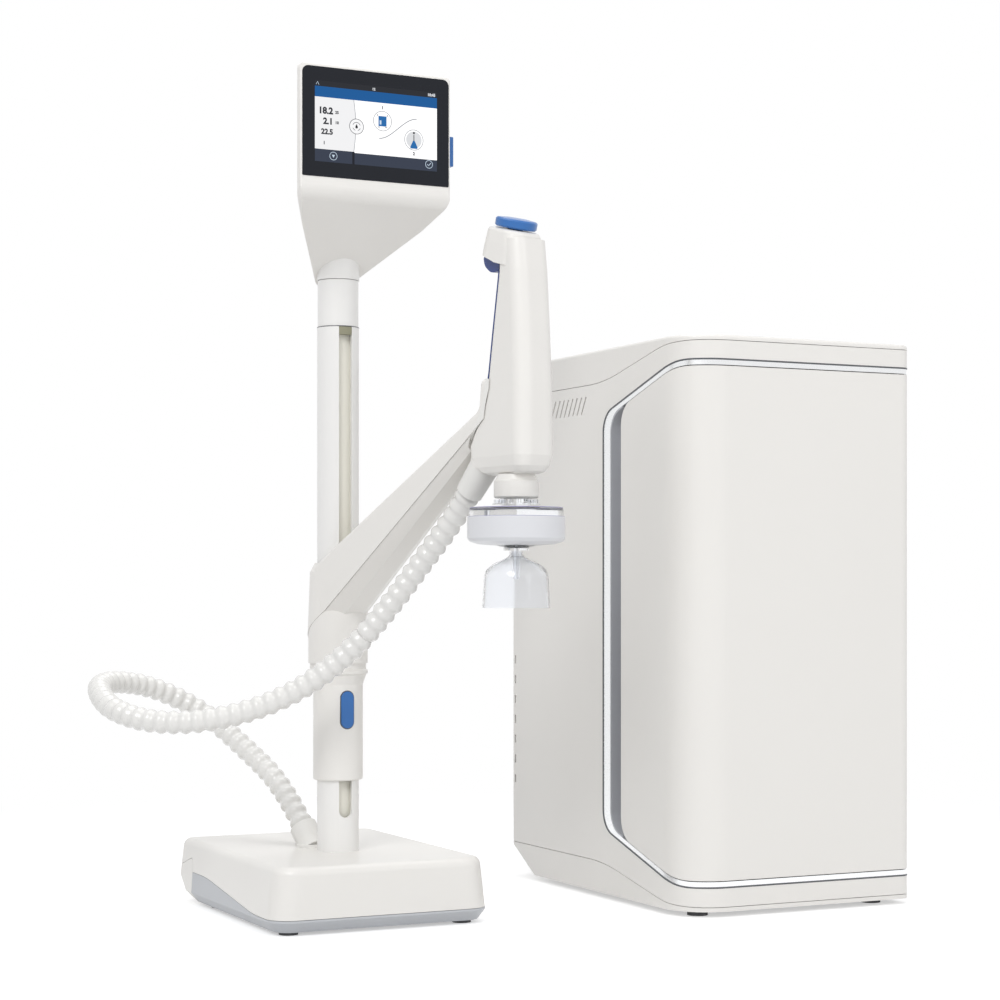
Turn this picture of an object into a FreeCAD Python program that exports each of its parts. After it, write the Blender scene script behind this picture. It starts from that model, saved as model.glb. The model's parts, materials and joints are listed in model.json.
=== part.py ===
"""Ultrapure water system: a water cabinet and its dispensing stand, side by side on a bench.

Millimetres, +Z up, +X to the right along both fronts, fronts towards -Y.
The origin is on the bench, under the middle of the box around the whole object without its hose.
"""
import FreeCAD, Part
import math
import os

# Driving sizes, cabinet
CAB_W = 232.0
CAB_D = 338.0
CAB_H = 498.0
CAB_CORNER_R = 40.0
CAB_RIGHT_R = 10.0
CAB_REAR_R = 8.0
WALL = 2.6
SEAM_GAP = 0.5
OVERRUN = 2.0
FOOT_H = 5.0
FOOT_R = 9.0

# Driving sizes, stand
BASE_W = 195.0
BASE_D = 258.0
BASE_TOP = 56.0
BASE_CORNER_R = 20.0
BASE_REAR_R = 12.0
STAND_FOOT_H = 3.0
UNIT_GAP = 154.0
STAGGER = 58.0
COLUMN_SETBACK = 100.8
COLUMN_FROM_LEFT = 95.5
COLUMN_R = 18.0
COLUMN_WALL = 3.0
COLLAR_LOW = 505.0
COLLAR_TOP = 545.0
ARM_TURN = 14.0
ARM_REACH = 237.0
HOSE_R = 10.0
FILTER_R = 38.2
PORT_LEN = 12.0
RUNNING_GAP = 0.08
BODY_GAP = 0.4

# Places that follow from them
TOTAL_W = BASE_W + UNIT_GAP + CAB_W
BASE_X = -TOTAL_W / 2
CAB_X = BASE_X + BASE_W + UNIT_GAP
ARM_RAD = math.radians(ARM_TURN)
FRONT_REACH = ARM_REACH * math.cos(ARM_RAD) + FILTER_R - COLUMN_SETBACK
REAR_REACH = CAB_D - STAGGER + PORT_LEN
BASE_Y = (FRONT_REACH - REAR_REACH) / 2
CAB_Y = BASE_Y - STAGGER
COL_X = BASE_X + COLUMN_FROM_LEFT
COL_Y = BASE_Y + COLUMN_SETBACK

os.makedirs("parts", exist_ok=True)
PIECES = {}


def v(x, y, z):
    return FreeCAD.Vector(x, y, z)


def keep(name, shape):
    """Files one named piece, after checking that it is made of whole solids."""
    solids = shape.Solids
    shape = solids[0] if len(solids) == 1 else Part.makeCompound(solids)
    PIECES[name] = shape
    shape.exportStep("parts/" + name + ".step")
    print("%-24s solids %d  volume %.2f cm3  valid %s"
          % (name, len(solids), shape.Volume / 1000, shape.isValid()))


def outline(corners, plane, at):
    """A closed wire through corners (a, b, radius), each rounded by its radius."""
    def place(a, b):
        if plane == "xy":
            return v(a, b, at)
        if plane == "yz":
            return v(at, a, b)
        return v(a, at, b)

    n = len(corners)
    ends = []
    for i, (a, b, r) in enumerate(corners):
        pa, pb, _ = corners[i - 1]
        na, nb, _ = corners[(i + 1) % n]
        ia, ib = pa - a, pb - b
        oa, ob = na - a, nb - b
        il, ol = math.hypot(ia, ib), math.hypot(oa, ob)
        ia, ib, oa, ob = ia / il, ib / il, oa / ol, ob / ol
        half = math.acos(max(-1, min(1, ia * oa + ib * ob))) / 2
        if r == 0 or abs(half - math.pi / 2) < 0.001:
            ends.append(((a, b), None, (a, b)))
            continue
        t = r / math.tan(half)
        ma, mb = ia + oa, ib + ob
        ml = math.hypot(ma, mb)
        far = r / math.sin(half) - r
        mid = (a + ma / ml * far, b + mb / ml * far)
        ends.append(((a + ia * t, b + ib * t), mid, (a + oa * t, b + ob * t)))
    edges = []
    for i, (first, mid, last) in enumerate(ends):
        if mid is not None:
            edges.append(Part.Arc(place(*first), place(*mid), place(*last)).toShape())
        nxt = ends[(i + 1) % n][0]
        if math.hypot(nxt[0] - last[0], nxt[1] - last[1]) > 0.000001:
            edges.append(Part.LineSegment(place(*last), place(*nxt)).toShape())
    return Part.Wire(edges)


def prism(corners, plane, low, high):
    """A straight solid with that outline, between two heights across its plane."""
    along = {"xy": v(0, 0, high - low), "yz": v(high - low, 0, 0), "xz": v(0, high - low, 0)}
    return Part.Face(outline(corners, plane, low)).extrude(along[plane])


def box(x0, x1, y0, y1, z0, z1):
    return Part.makeBox(x1 - x0, y1 - y0, z1 - z0, v(x0, y0, z0))


def rounded(x0, x1, y0, y1, r):
    """Corners of a rectangle with one radius."""
    return [(x0, y0, r), (x1, y0, r), (x1, y1, r), (x0, y1, r)]


def rod(x, y, low, high, r):
    return Part.makeCylinder(r, high - low, v(x, y, low))


def ring(x, y, low, high, r_in, r_out):
    return rod(x, y, low, high, r_out).cut(rod(x, y, low - OVERRUN, high + OVERRUN, r_in))


def turned(x, y, points):
    """A solid of revolution about a vertical axis from (radius, z) points."""
    pts = [v(x + r, y, z) for r, z in points]
    return Part.Face(Part.makePolygon(pts + [pts[0]])).revolve(v(x, y, 0), v(0, 0, 1), 360)


def soften(shape, radius, wanted):
    """Rounds the edges that a test picks."""
    edges = [e for e in shape.Edges if wanted(e)]
    return shape.makeFillet(radius, edges)


def flat_at(edge, z):
    """Whether an edge lies level at one height."""
    b = edge.BoundBox
    return abs(b.ZMin - z) < 0.01 and abs(b.ZMax - z) < 0.01


# Cabinet outer form
def cabinet_plan(inset):
    """The cabinet's plan, drawn in by a distance on every side."""
    x0, x1 = CAB_X + inset, CAB_X + CAB_W - inset
    y0, y1 = CAB_Y + inset, CAB_Y + CAB_D - inset
    return [(x0, y0, CAB_CORNER_R - inset), (x1, y0, CAB_RIGHT_R - inset),
            (x1, y1, CAB_REAR_R - inset), (x0, y1, CAB_REAR_R - inset)]


def cabinet_body(inset, low, high):
    return prism(cabinet_plan(inset), "xy", low, high)


# The lid's and plinth's seams: thin along the front, deeper behind, joined by a long slope
LID_FRONT_H = 4.5
LID_REAR_H = 30.5
PLINTH_FRONT_H = 3.6
PLINTH_REAR_H = 28.0
SEAM_SLOPE_FROM = 28.0
SEAM_SLOPE_TO = 148.0
SEAM_BEND_R = 260.0


def seam_side(front_z, rear_z, edge_z):
    """The region between a seam and a level far from it, as a solid across the cabinet."""
    y0 = CAB_Y - OVERRUN
    y1 = CAB_Y + CAB_D + OVERRUN
    corners = [(y0, edge_z, 0), (y0, front_z, 0),
               (CAB_Y + SEAM_SLOPE_FROM, front_z, SEAM_BEND_R),
               (CAB_Y + SEAM_SLOPE_TO, rear_z, SEAM_BEND_R),
               (y1, rear_z, 0), (y1, edge_z, 0)]
    return prism(corners, "yz", CAB_X - OVERRUN, CAB_X + CAB_W + OVERRUN)


LID_SEAM_FRONT = CAB_H - LID_FRONT_H
LID_SEAM_REAR = CAB_H - LID_REAR_H
PLINTH_SEAM_FRONT = FOOT_H + PLINTH_FRONT_H
PLINTH_SEAM_REAR = FOOT_H + PLINTH_REAR_H
LID_EDGE_R = 3.0

lid = cabinet_body(0, LID_SEAM_REAR - OVERRUN, CAB_H)
lid = soften(lid, LID_EDGE_R, lambda e: flat_at(e, CAB_H))
lid = lid.common(seam_side(LID_SEAM_FRONT, LID_SEAM_REAR, CAB_H + OVERRUN))
lid = lid.cut(cabinet_body(WALL, LID_SEAM_REAR - OVERRUN - OVERRUN, CAB_H - WALL))
keep("cabinet_lid", lid)

# The plinth: a tray whose rear foot is cut back at a slant for the tubes
PLINTH_CUT_DEPTH = 52.0
PLINTH_CUT_H = 29.0


def plinth_form(inset, high_front, high_rear):
    body = cabinet_body(inset, FOOT_H + inset, PLINTH_SEAM_REAR + OVERRUN)
    body = body.common(seam_side(high_front, high_rear, FOOT_H - OVERRUN))
    back = CAB_Y + CAB_D
    slope = PLINTH_CUT_H / PLINTH_CUT_DEPTH
    lift = inset * math.hypot(1, slope)
    far = PLINTH_CUT_DEPTH + OVERRUN
    low = FOOT_H - OVERRUN
    wedge = prism([(back - PLINTH_CUT_DEPTH - OVERRUN / slope, low + lift, 0),
                   (back + OVERRUN, low + lift + far * slope + OVERRUN, 0),
                   (back + OVERRUN, low - PLINTH_CUT_H, 0),
                   (back - PLINTH_CUT_DEPTH - OVERRUN / slope, low - PLINTH_CUT_H, 0)],
                  "yz", CAB_X - OVERRUN, CAB_X + CAB_W + OVERRUN)
    return body.cut(wedge)


plinth = plinth_form(0, PLINTH_SEAM_FRONT, PLINTH_SEAM_REAR)
plinth = plinth.cut(plinth_form(WALL, PLINTH_SEAM_FRONT + OVERRUN, PLINTH_SEAM_REAR + OVERRUN))
keep("cabinet_plinth", plinth)

# Door opening: level top and bottom on the front, sloping back along the left side
TRIM_TOP = 477.0
TRIM_LOW = 25.6
TRIM_EDGE_Y = 148.5
TRIM_KNEE_Y = 19.0
TRIM_BAND = 5.0
TRIM_SIDE_BAND = 13.0
TRIM_SLOPE = 0.3
TRIM_KNEE_R = 60.0
TRIM_CORNER_R = 22.0
RECESS_BAND = 20.7
DOOR_GAP = 0.8
HINGE_SET_Y = 17.0
RIGHT_TRIM_Y = 27.6


def opening(inset, edge_y, right_y):
    """What is inside one ring of the door's surround, as a solid across the cabinet."""
    y0 = CAB_Y - OVERRUN
    knee, edge = CAB_Y + TRIM_KNEE_Y, CAB_Y + edge_y
    top, low = TRIM_TOP - inset, TRIM_LOW + inset
    drop = TRIM_SLOPE * (edge - knee)
    mid = CAB_X + CAB_W / 2
    left = prism([(y0, low, 0), (knee, low, TRIM_KNEE_R), (edge, low + drop, TRIM_CORNER_R),
                  (edge, top - drop, TRIM_CORNER_R), (knee, top, TRIM_KNEE_R), (y0, top, 0)],
                 "yz", CAB_X - OVERRUN, mid)
    right = box(mid, CAB_X + CAB_W + OVERRUN, y0, CAB_Y + right_y, low, top)
    return left.fuse(right)


RING_OUT = opening(0, TRIM_EDGE_Y, RIGHT_TRIM_Y)
RING_MID = opening(TRIM_BAND, TRIM_EDGE_Y - TRIM_SIDE_BAND, RIGHT_TRIM_Y - TRIM_BAND)
DOOR_EDGE_Y = TRIM_EDGE_Y - TRIM_SIDE_BAND - RECESS_BAND
DOOR_RING = opening(TRIM_BAND + DOOR_GAP, DOOR_EDGE_Y, HINGE_SET_Y)

wall_form = cabinet_body(0, PLINTH_SEAM_FRONT, LID_SEAM_FRONT).cut(
    cabinet_body(WALL, PLINTH_SEAM_FRONT - OVERRUN, LID_SEAM_FRONT + OVERRUN))

# Shell: the wrapped wall between plinth and lid, with slanted vent slots and a rear window
VENT_COUNT = 8
VENT_PITCH = 8.6
VENT_W = 2.2
VENT_H = 16.0
VENT_LEAN = 9.0
VENT_LOW = 441.0
VENT_FIRST_Y = 180.0
NOTCH_COUNT = 7
NOTCH_PITCH = 19.4
NOTCH_H = 8.0
NOTCH_W = 3.0
NOTCH_LOW = 91.0
NOTCH_INSET = 9.0
REAR_WIN_MARGIN = 36.0
REAR_WIN_LOW = 46.0
REAR_WIN_H = 330.0

shell = wall_form.cut(seam_side(LID_SEAM_FRONT - SEAM_GAP, LID_SEAM_REAR - SEAM_GAP, CAB_H + OVERRUN))
shell = shell.cut(seam_side(PLINTH_SEAM_FRONT + SEAM_GAP, PLINTH_SEAM_REAR + SEAM_GAP, FOOT_H - OVERRUN))
shell = shell.cut(RING_OUT)
x_out, x_in = CAB_X - OVERRUN, CAB_X + WALL + OVERRUN
for i in range(VENT_COUNT):
    y = CAB_Y + VENT_FIRST_Y + i * VENT_PITCH
    slot = [(y + VENT_LEAN, VENT_LOW, 0), (y, VENT_LOW + VENT_H, 0),
            (y + VENT_W, VENT_LOW + VENT_H, 0), (y + VENT_LEAN + VENT_W, VENT_LOW, 0)]
    shell = shell.cut(prism(slot, "yz", x_out, x_in))
for i in range(NOTCH_COUNT):
    y = CAB_Y + CAB_D - NOTCH_INSET
    z = NOTCH_LOW + i * NOTCH_PITCH
    shell = shell.cut(box(x_out, x_in, y - NOTCH_W, y, z, z + NOTCH_H))
win = (CAB_X + REAR_WIN_MARGIN, CAB_X + CAB_W - REAR_WIN_MARGIN)
REAR_Y = CAB_Y + CAB_D
shell = shell.cut(box(win[0], win[1], REAR_Y - WALL - OVERRUN, REAR_Y + OVERRUN,
                      REAR_WIN_LOW, REAR_WIN_LOW + REAR_WIN_H))
keep("cabinet_shell", shell)

TRIM_SET = 0.4
trim_wall = cabinet_body(TRIM_SET, TRIM_LOW - OVERRUN, TRIM_TOP + OVERRUN).cut(
    cabinet_body(WALL, TRIM_LOW - OVERRUN - OVERRUN, TRIM_TOP + OVERRUN + OVERRUN))
trim = trim_wall.common(RING_OUT).cut(RING_MID)
keep("door_trim", trim)

# Finger recess: a channel sunk in the left side, behind the door's free edge
RECESS_DEPTH = 11.0
RECESS_WALL = 1.6
channel_x = CAB_X + RECESS_DEPTH
recess_out = RING_MID.common(box(CAB_X + TRIM_SET, channel_x + RECESS_WALL,
                                 CAB_Y + DOOR_EDGE_Y - RECESS_WALL, CAB_Y + TRIM_EDGE_Y,
                                 TRIM_LOW, TRIM_TOP))
INNER_RING = opening(TRIM_BAND + RECESS_WALL, TRIM_EDGE_Y - TRIM_SIDE_BAND - RECESS_WALL, HINGE_SET_Y)
recess_in = INNER_RING.common(box(CAB_X - OVERRUN, channel_x, CAB_Y + DOOR_EDGE_Y - RECESS_WALL - OVERRUN,
                                  CAB_Y + TRIM_EDGE_Y, TRIM_LOW, TRIM_TOP))
keep("finger_recess", recess_out.cut(recess_in))

# Door: a skin that wraps both front corners, with a hinge barrel down its right return
DOOR_WALL = 3.0
BARREL_R = 4.0
PIN_R = 1.5
PIN_LEN = 14.0
door_wall = cabinet_body(0, TRIM_LOW, TRIM_TOP).cut(
    cabinet_body(DOOR_WALL, TRIM_LOW - OVERRUN, TRIM_TOP + OVERRUN))
skin = door_wall.common(DOOR_RING)
HINGE_X = CAB_X + CAB_W - BARREL_R - TRIM_SET
HINGE_Y = CAB_Y + HINGE_SET_Y
DOOR_LOW = TRIM_LOW + TRIM_BAND + DOOR_GAP
DOOR_TOP = TRIM_TOP - TRIM_BAND - DOOR_GAP
skin = skin.fuse(rod(HINGE_X, HINGE_Y, DOOR_LOW, DOOR_TOP, BARREL_R))
for low in (DOOR_LOW, DOOR_TOP - PIN_LEN):
    skin = skin.cut(rod(HINGE_X, HINGE_Y, low - OVERRUN, low + PIN_LEN + OVERRUN, PIN_R + RUNNING_GAP))
keep("door_panel", skin)

# Two hinge pins in two brackets that reach out from the shell's right wall
BRACKET_T = 3.0
pins, brackets = [], []
for low, into, side in ((DOOR_LOW - DOOR_GAP - BRACKET_T, DOOR_LOW, 1), (DOOR_TOP + DOOR_GAP, DOOR_TOP, -1)):
    a, b = sorted((low if side > 0 else low + BRACKET_T, into + side * (PIN_LEN - DOOR_GAP)))
    pins.append(rod(HINGE_X, HINGE_Y, a, b, PIN_R))
    arm = box(HINGE_X - BARREL_R, CAB_X + CAB_W - WALL, HINGE_Y - BARREL_R,
              CAB_Y + RIGHT_TRIM_Y + RECESS_DEPTH, low, low + BRACKET_T)
    brackets.append(arm.cut(rod(HINGE_X, HINGE_Y, low - OVERRUN, low + BRACKET_T + OVERRUN, PIN_R)))
keep("door_hinges", Part.makeCompound(pins + brackets))

# Chassis tray on the plinth's floor, and the bulkhead that carries the working parts
TRAY_T = 2.0
TRAY_MARGIN = 6.0
TRAY_LIP = 12.0
BULK_SET_Y = 152.0
BULK_T = 2.0
BULK_TOP = 470.0
tray_low = FOOT_H + WALL
tray_top = tray_low + TRAY_T
tray_y1 = CAB_Y + CAB_D - PLINTH_CUT_DEPTH - TRAY_LIP
tray_x = (CAB_X + WALL + TRAY_MARGIN, CAB_X + CAB_W - WALL - TRAY_MARGIN)
tray = prism([(tray_x[0], CAB_Y + TRAY_LIP, CAB_CORNER_R), (tray_x[1], CAB_Y + TRAY_LIP, CAB_RIGHT_R),
              (tray_x[1], tray_y1, 0), (tray_x[0], tray_y1, 0)], "xy", tray_low, tray_top)
keep("chassis_tray", tray)
bulk_y = CAB_Y + BULK_SET_Y
bulk_x = (channel_x + RECESS_WALL + BODY_GAP, tray_x[1])
bulkhead = box(bulk_x[0], bulk_x[1], bulk_y, bulk_y + BULK_T, tray_top, BULK_TOP)
side_rail = box(bulk_x[0], bulk_x[0] + BULK_T, bulk_y, bulk_y + TRAY_LIP + TRAY_LIP, tray_top, BULK_TOP)
other_rail = side_rail.translated(v(bulk_x[1] - bulk_x[0] - BULK_T, 0, 0))
bulkhead = bulkhead.fuse(side_rail).fuse(other_rail)

# Four rubber feet under the plinth
FOOT_IN_X = 26.0
FOOT_IN_FRONT = 26.0
FOOT_IN_REAR = 78.0
feet = []
for fx in (CAB_X + FOOT_IN_X, CAB_X + CAB_W - FOOT_IN_X):
    for fy in (CAB_Y + FOOT_IN_FRONT, CAB_Y + CAB_D - FOOT_IN_REAR):
        feet.append(rod(fx, fy, 0, FOOT_H, FOOT_R))

# Two purification cartridges stand in the front bay and plug up into a manifold
CART_R = 41.0
CART_LOW = 60.0
CART_H = 300.0
CART_NECK_R = 15.0
CART_NECK_H = 16.0
CART_FOOT_R = 30.0
CART_RIM_R = 42.5
CART_RIM_H = 12.0
CART_SHOULDER = 18.0
cart_y = bulk_y - CART_RIM_R - BODY_GAP
bay_mid = (bulk_x[0] + bulk_x[1]) / 2
cart_x = (bay_mid - CART_RIM_R - OVERRUN, bay_mid + CART_RIM_R + OVERRUN)
cart_top = CART_LOW + CART_H
cartridges = []
for x in cart_x:
    cartridges.append(turned(x, cart_y, [
        (0, CART_LOW), (CART_FOOT_R, CART_LOW), (CART_R, CART_LOW + CART_SHOULDER),
        (CART_R, cart_top - CART_SHOULDER - CART_RIM_H), (CART_RIM_R, cart_top - CART_SHOULDER - CART_RIM_H),
        (CART_RIM_R, cart_top - CART_SHOULDER), (CART_NECK_R, cart_top),
        (CART_NECK_R, cart_top + CART_NECK_H), (0, cart_top + CART_NECK_H)]))
keep("purification_cartridges", Part.makeCompound(cartridges))
MANIFOLD_H = 34.0
MANIFOLD_HALF_D = 24.0
MANIFOLD_EAR = 26.0
neck_top = cart_top + CART_NECK_H
manifold = box(cart_x[0] - MANIFOLD_EAR, cart_x[1] + MANIFOLD_EAR, cart_y - MANIFOLD_HALF_D, bulk_y,
               cart_top + BODY_GAP, cart_top + BODY_GAP + MANIFOLD_H)
for x in cart_x:
    manifold = manifold.cut(rod(x, cart_y, cart_top, neck_top, CART_NECK_R + RUNNING_GAP))
keep("cartridge_manifold", manifold)
SHELF_T = 3.0
shelf = box(cart_x[0] - CART_FOOT_R, cart_x[1] + CART_FOOT_R, cart_y - CART_FOOT_R, bulk_y,
            CART_LOW - SHELF_T, CART_LOW)
keep("bulkhead", bulkhead.fuse(shelf))

# Working parts behind the bulkhead
REAR_BAY_Y = bulk_y + BULK_T
PUMP_R = 27.0
PUMP_LEN = 84.0
PUMP_HEAD_R = 31.0
PUMP_HEAD_LEN = 30.0
PUMP_X = CAB_X + 70.0
PUMP_BASE_H = 6.0
pump_z = tray_top + PUMP_BASE_H + PUMP_HEAD_R
pump_y = REAR_BAY_Y + TRAY_LIP
motor = Part.makeCylinder(PUMP_R, PUMP_LEN, v(PUMP_X, pump_y, pump_z), v(0, 1, 0))
head = Part.makeCylinder(PUMP_HEAD_R, PUMP_HEAD_LEN, v(PUMP_X, pump_y, pump_z), v(0, 1, 0))
pump = motor.fuse(head).fuse(box(PUMP_X - PUMP_R, PUMP_X + PUMP_R, pump_y, pump_y + PUMP_LEN,
                                 tray_top, pump_z - PUMP_HEAD_R / 2))
keep("circulation_pump", pump)
UV_R = 26.0
UV_LEN = 260.0
UV_CAP_R = 29.0
UV_CAP_H = 14.0
uv_x = CAB_X + CAB_W - TRAY_MARGIN - UV_CAP_R - TRAY_LIP
uv_y = REAR_BAY_Y + UV_CAP_R + BODY_GAP
uv_low = tray_top
uv = rod(uv_x, uv_y, uv_low, uv_low + UV_LEN, UV_R)
for low in (uv_low, uv_low + UV_LEN):
    uv = uv.fuse(rod(uv_x, uv_y, low, low + UV_CAP_H, UV_CAP_R))
keep("uv_lamp_housing", uv)
PSU = (90.0, 46.0, 150.0)
psu_low = 180.0
keep("power_supply", box(PUMP_X - PSU[0] / 2, PUMP_X + PSU[0] / 2, REAR_BAY_Y, REAR_BAY_Y + PSU[1],
                         psu_low, psu_low + PSU[2]))
BOARD = (170.0, 1.6, 100.0)
BOARD_STAND = 8.0
STAND_R = 3.0
board_low = 355.0
board_x = (bulk_x[0] + bulk_x[1] - BOARD[0]) / 2
board = box(board_x, board_x + BOARD[0], REAR_BAY_Y + BOARD_STAND, REAR_BAY_Y + BOARD_STAND + BOARD[1],
            board_low, board_low + BOARD[2])
for sx in (board_x + BOARD_STAND, board_x + BOARD[0] - BOARD_STAND):
    for sz in (board_low + BOARD_STAND, board_low + BOARD[2] - BOARD_STAND):
        board = board.fuse(Part.makeCylinder(STAND_R, BOARD_STAND, v(sx, REAR_BAY_Y, sz), v(0, 1, 0)))
keep("control_board", board)
VALVE = (22.0, 30.0, 26.0)
VALVE_COIL_R = 10.0
VALVE_COIL_H = 30.0
VALVE_GAP = 6.0
valve_low = 120.0
valves = []
for i in range(3):
    x = PUMP_X - VALVE[0] * 1.5 - VALVE_GAP + i * (VALVE[0] + VALVE_GAP)
    body = box(x, x + VALVE[0], REAR_BAY_Y, REAR_BAY_Y + VALVE[1], valve_low, valve_low + VALVE[2])
    coil = rod(x + VALVE[0] / 2, REAR_BAY_Y + VALVE[1] / 2, valve_low + VALVE[2],
               valve_low + VALVE[2] + VALVE_COIL_H, VALVE_COIL_R)
    valves.append(body.fuse(coil))
keep("solenoid_valves", Part.makeCompound(valves))
CELL_R = 9.0
CELL_LEN = 46.0
cell_z = cart_top + BODY_GAP + MANIFOLD_H / 2
cell_x = cart_x[0] - MANIFOLD_EAR
keep("resistivity_cell", Part.makeCylinder(CELL_R, CELL_LEN, v(bay_mid, cart_y - MANIFOLD_HALF_D, cell_z),
                                           v(0, -1, 0)))

# Rear panel in the shell's window, with the water ports and the mains inlet
PANEL_T = 2.0
PORT_R = 9.0
PORT_BORE_R = 4.0
PORT_BORE_LEN = 16.0
PORT_FLANGE_R = 13.0
PORT_FLANGE_T = 3.0
PORT_TAIL = 14.0
PORT_COUNT = 3
PORT_PITCH = 36.0
PORT_LOW = 80.0
INLET_W = 30.0
INLET_H = 24.0
INLET_WALL = 3.0
INLET_DEPTH = 22.0
INLET_Z = 330.0
PIN_T = 2.0
panel_y = REAR_Y - WALL
panel = box(win[0], win[1], panel_y, panel_y + PANEL_T, REAR_WIN_LOW, REAR_WIN_LOW + REAR_WIN_H)
port_x = CAB_X + CAB_W / 2
ports = []
for i in range(PORT_COUNT):
    z = PORT_LOW + i * PORT_PITCH
    out = Part.makeCylinder(PORT_R, PORT_LEN + WALL - PANEL_T, v(port_x, panel_y + PANEL_T, z), v(0, 1, 0))
    flange = Part.makeCylinder(PORT_FLANGE_R, PORT_FLANGE_T, v(port_x, panel_y + PANEL_T, z), v(0, 1, 0))
    tail = Part.makeCylinder(PORT_R, PORT_TAIL + PANEL_T, v(port_x, panel_y - PORT_TAIL, z), v(0, 1, 0))
    bore = Part.makeCylinder(PORT_BORE_R, PORT_BORE_LEN, v(port_x, REAR_Y + PORT_LEN - PORT_BORE_LEN, z), v(0, 1, 0))
    panel = panel.cut(Part.makeCylinder(PORT_R, PANEL_T + OVERRUN + OVERRUN,
                                        v(port_x, panel_y - OVERRUN, z), v(0, 1, 0)))
    ports.append(out.fuse(flange).fuse(tail).cut(bore))
inlet_x0, inlet_x1 = port_x - INLET_W / 2, port_x + INLET_W / 2
inlet_z0, inlet_z1 = INLET_Z - INLET_H / 2, INLET_Z + INLET_H / 2
panel = panel.cut(box(inlet_x0, inlet_x1, panel_y - OVERRUN, REAR_Y + OVERRUN, inlet_z0, inlet_z1))
keep("rear_panel", panel)
keep("water_ports", Part.makeCompound(ports))
inlet = box(inlet_x0, inlet_x1, panel_y - INLET_DEPTH, REAR_Y, inlet_z0, inlet_z1)
inlet = inlet.cut(box(inlet_x0 + INLET_WALL, inlet_x1 - INLET_WALL, panel_y - INLET_DEPTH + INLET_WALL,
                      REAR_Y + OVERRUN, inlet_z0 + INLET_WALL, inlet_z1 - INLET_WALL))
keep("mains_inlet", inlet)


# Stand base: a white cover over a grey-blue lower shell, parted by an S along each side
COVER_EDGE_R = 7.0
COVER_WALL = 3.0
BASE_TAPER = 5.5
BASE_UNDERCUT = 6.5
BASE_UNDERCUT_H = 8.5
BASE_SEAM_FRONT = 13.2
BASE_SEAM_REAR = 28.6
BASE_SEAM_FROM = 50.0
BASE_SEAM_TO = 178.0
BASE_SEAM_R = 260.0
HEEL_Y = 214.0
HEEL_RISE = 0.62
TAB_LOW_Y = 212.5
TAB_HIGH_Y = 218.0
TAB_TOP = 42.0
PART_LINE = 0.4
PLATE_H = 10.0
PLATE_MARGIN = 14.0
POST_R = 5.0

base_knee = STAND_FOOT_H + BASE_UNDERCUT_H


def base_block(inset, low, high):
    """The base's form drawn in by a distance: cut under all round, its two sides leaning in upwards."""
    wires = []
    for z in sorted({low, max(low, base_knee), high}):
        under = inset + BASE_UNDERCUT * max(0, base_knee - z) / BASE_UNDERCUT_H
        lean = under + BASE_TAPER * max(0, z - base_knee) / (BASE_TOP - base_knee)
        x0, x1 = BASE_X + lean, BASE_X + BASE_W - lean
        y0, y1 = BASE_Y + under, BASE_Y + BASE_D - under
        front_r, rear_r = BASE_CORNER_R - under, BASE_REAR_R - under
        wires.append(outline([(x0, y0, front_r), (x1, y0, front_r), (x1, y1, rear_r), (x0, y1, rear_r)], "xy", z))
    return Part.makeLoft(wires, True, True)


base_form = base_block(0, STAND_FOOT_H, BASE_TOP)
base_form = soften(base_form, COVER_EDGE_R, lambda e: flat_at(e, BASE_TOP))
x_lo, x_hi = BASE_X - OVERRUN, BASE_X + BASE_W + OVERRUN
y_lo, y_hi = BASE_Y - OVERRUN, BASE_Y + BASE_D + OVERRUN
heel_z = STAND_FOOT_H + (BASE_D + OVERRUN - HEEL_Y) * HEEL_RISE
base_form = base_form.cut(prism([(BASE_Y + HEEL_Y, STAND_FOOT_H, 0), (y_hi, heel_z, 0),
                                 (y_hi, -OVERRUN, 0), (BASE_Y + HEEL_Y, -OVERRUN, 0)], "yz", x_lo, x_hi))


def base_below(lift):
    """Everything under the S seam, moved up by a small lift."""
    return prism([(y_lo, -OVERRUN, 0), (y_lo, BASE_SEAM_FRONT + lift, 0),
                  (BASE_Y + BASE_SEAM_FROM, BASE_SEAM_FRONT + lift, BASE_SEAM_R),
                  (BASE_Y + BASE_SEAM_TO, BASE_SEAM_REAR + lift, BASE_SEAM_R),
                  (y_hi, BASE_SEAM_REAR + lift, 0), (y_hi, -OVERRUN, 0)], "yz", x_lo, x_hi)


tab_region = prism([(BASE_Y + TAB_LOW_Y, -OVERRUN, 0), (BASE_Y + TAB_LOW_Y, BASE_SEAM_REAR / 2, 0),
                    (BASE_Y + TAB_HIGH_Y, TAB_TOP, 6.0), (y_hi, BASE_SEAM_REAR, 0), (y_hi, -OVERRUN, 0)],
                   "yz", x_lo, x_hi)
tab_gap = prism([(BASE_Y + TAB_LOW_Y - PART_LINE, -OVERRUN, 0),
                 (BASE_Y + TAB_LOW_Y - PART_LINE, BASE_SEAM_REAR / 2, 0),
                 (BASE_Y + TAB_HIGH_Y - PART_LINE, TAB_TOP + PART_LINE, 6.0),
                 (y_hi, BASE_SEAM_REAR + PART_LINE, 0), (y_hi, -OVERRUN, 0)], "yz", x_lo, x_hi)
plate_top = STAND_FOOT_H + COVER_WALL + PLATE_H
hollow = base_block(COVER_WALL, base_knee, BASE_TOP - COVER_WALL)
cover = base_form.cut(base_below(PART_LINE)).cut(tab_gap).cut(hollow)
column_hole = rod(COL_X, COL_Y, -OVERRUN, BASE_TOP + OVERRUN, COLUMN_R)
cover = cover.cut(column_hole)
keep("base_cover", cover)
inner_form = base_block(COVER_WALL, STAND_FOOT_H + COVER_WALL, BASE_TOP)
pocket = inner_form.cut(box(x_lo, x_hi, BASE_Y + HEEL_Y - COVER_WALL, y_hi, -OVERRUN, BASE_TOP + OVERRUN))
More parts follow.
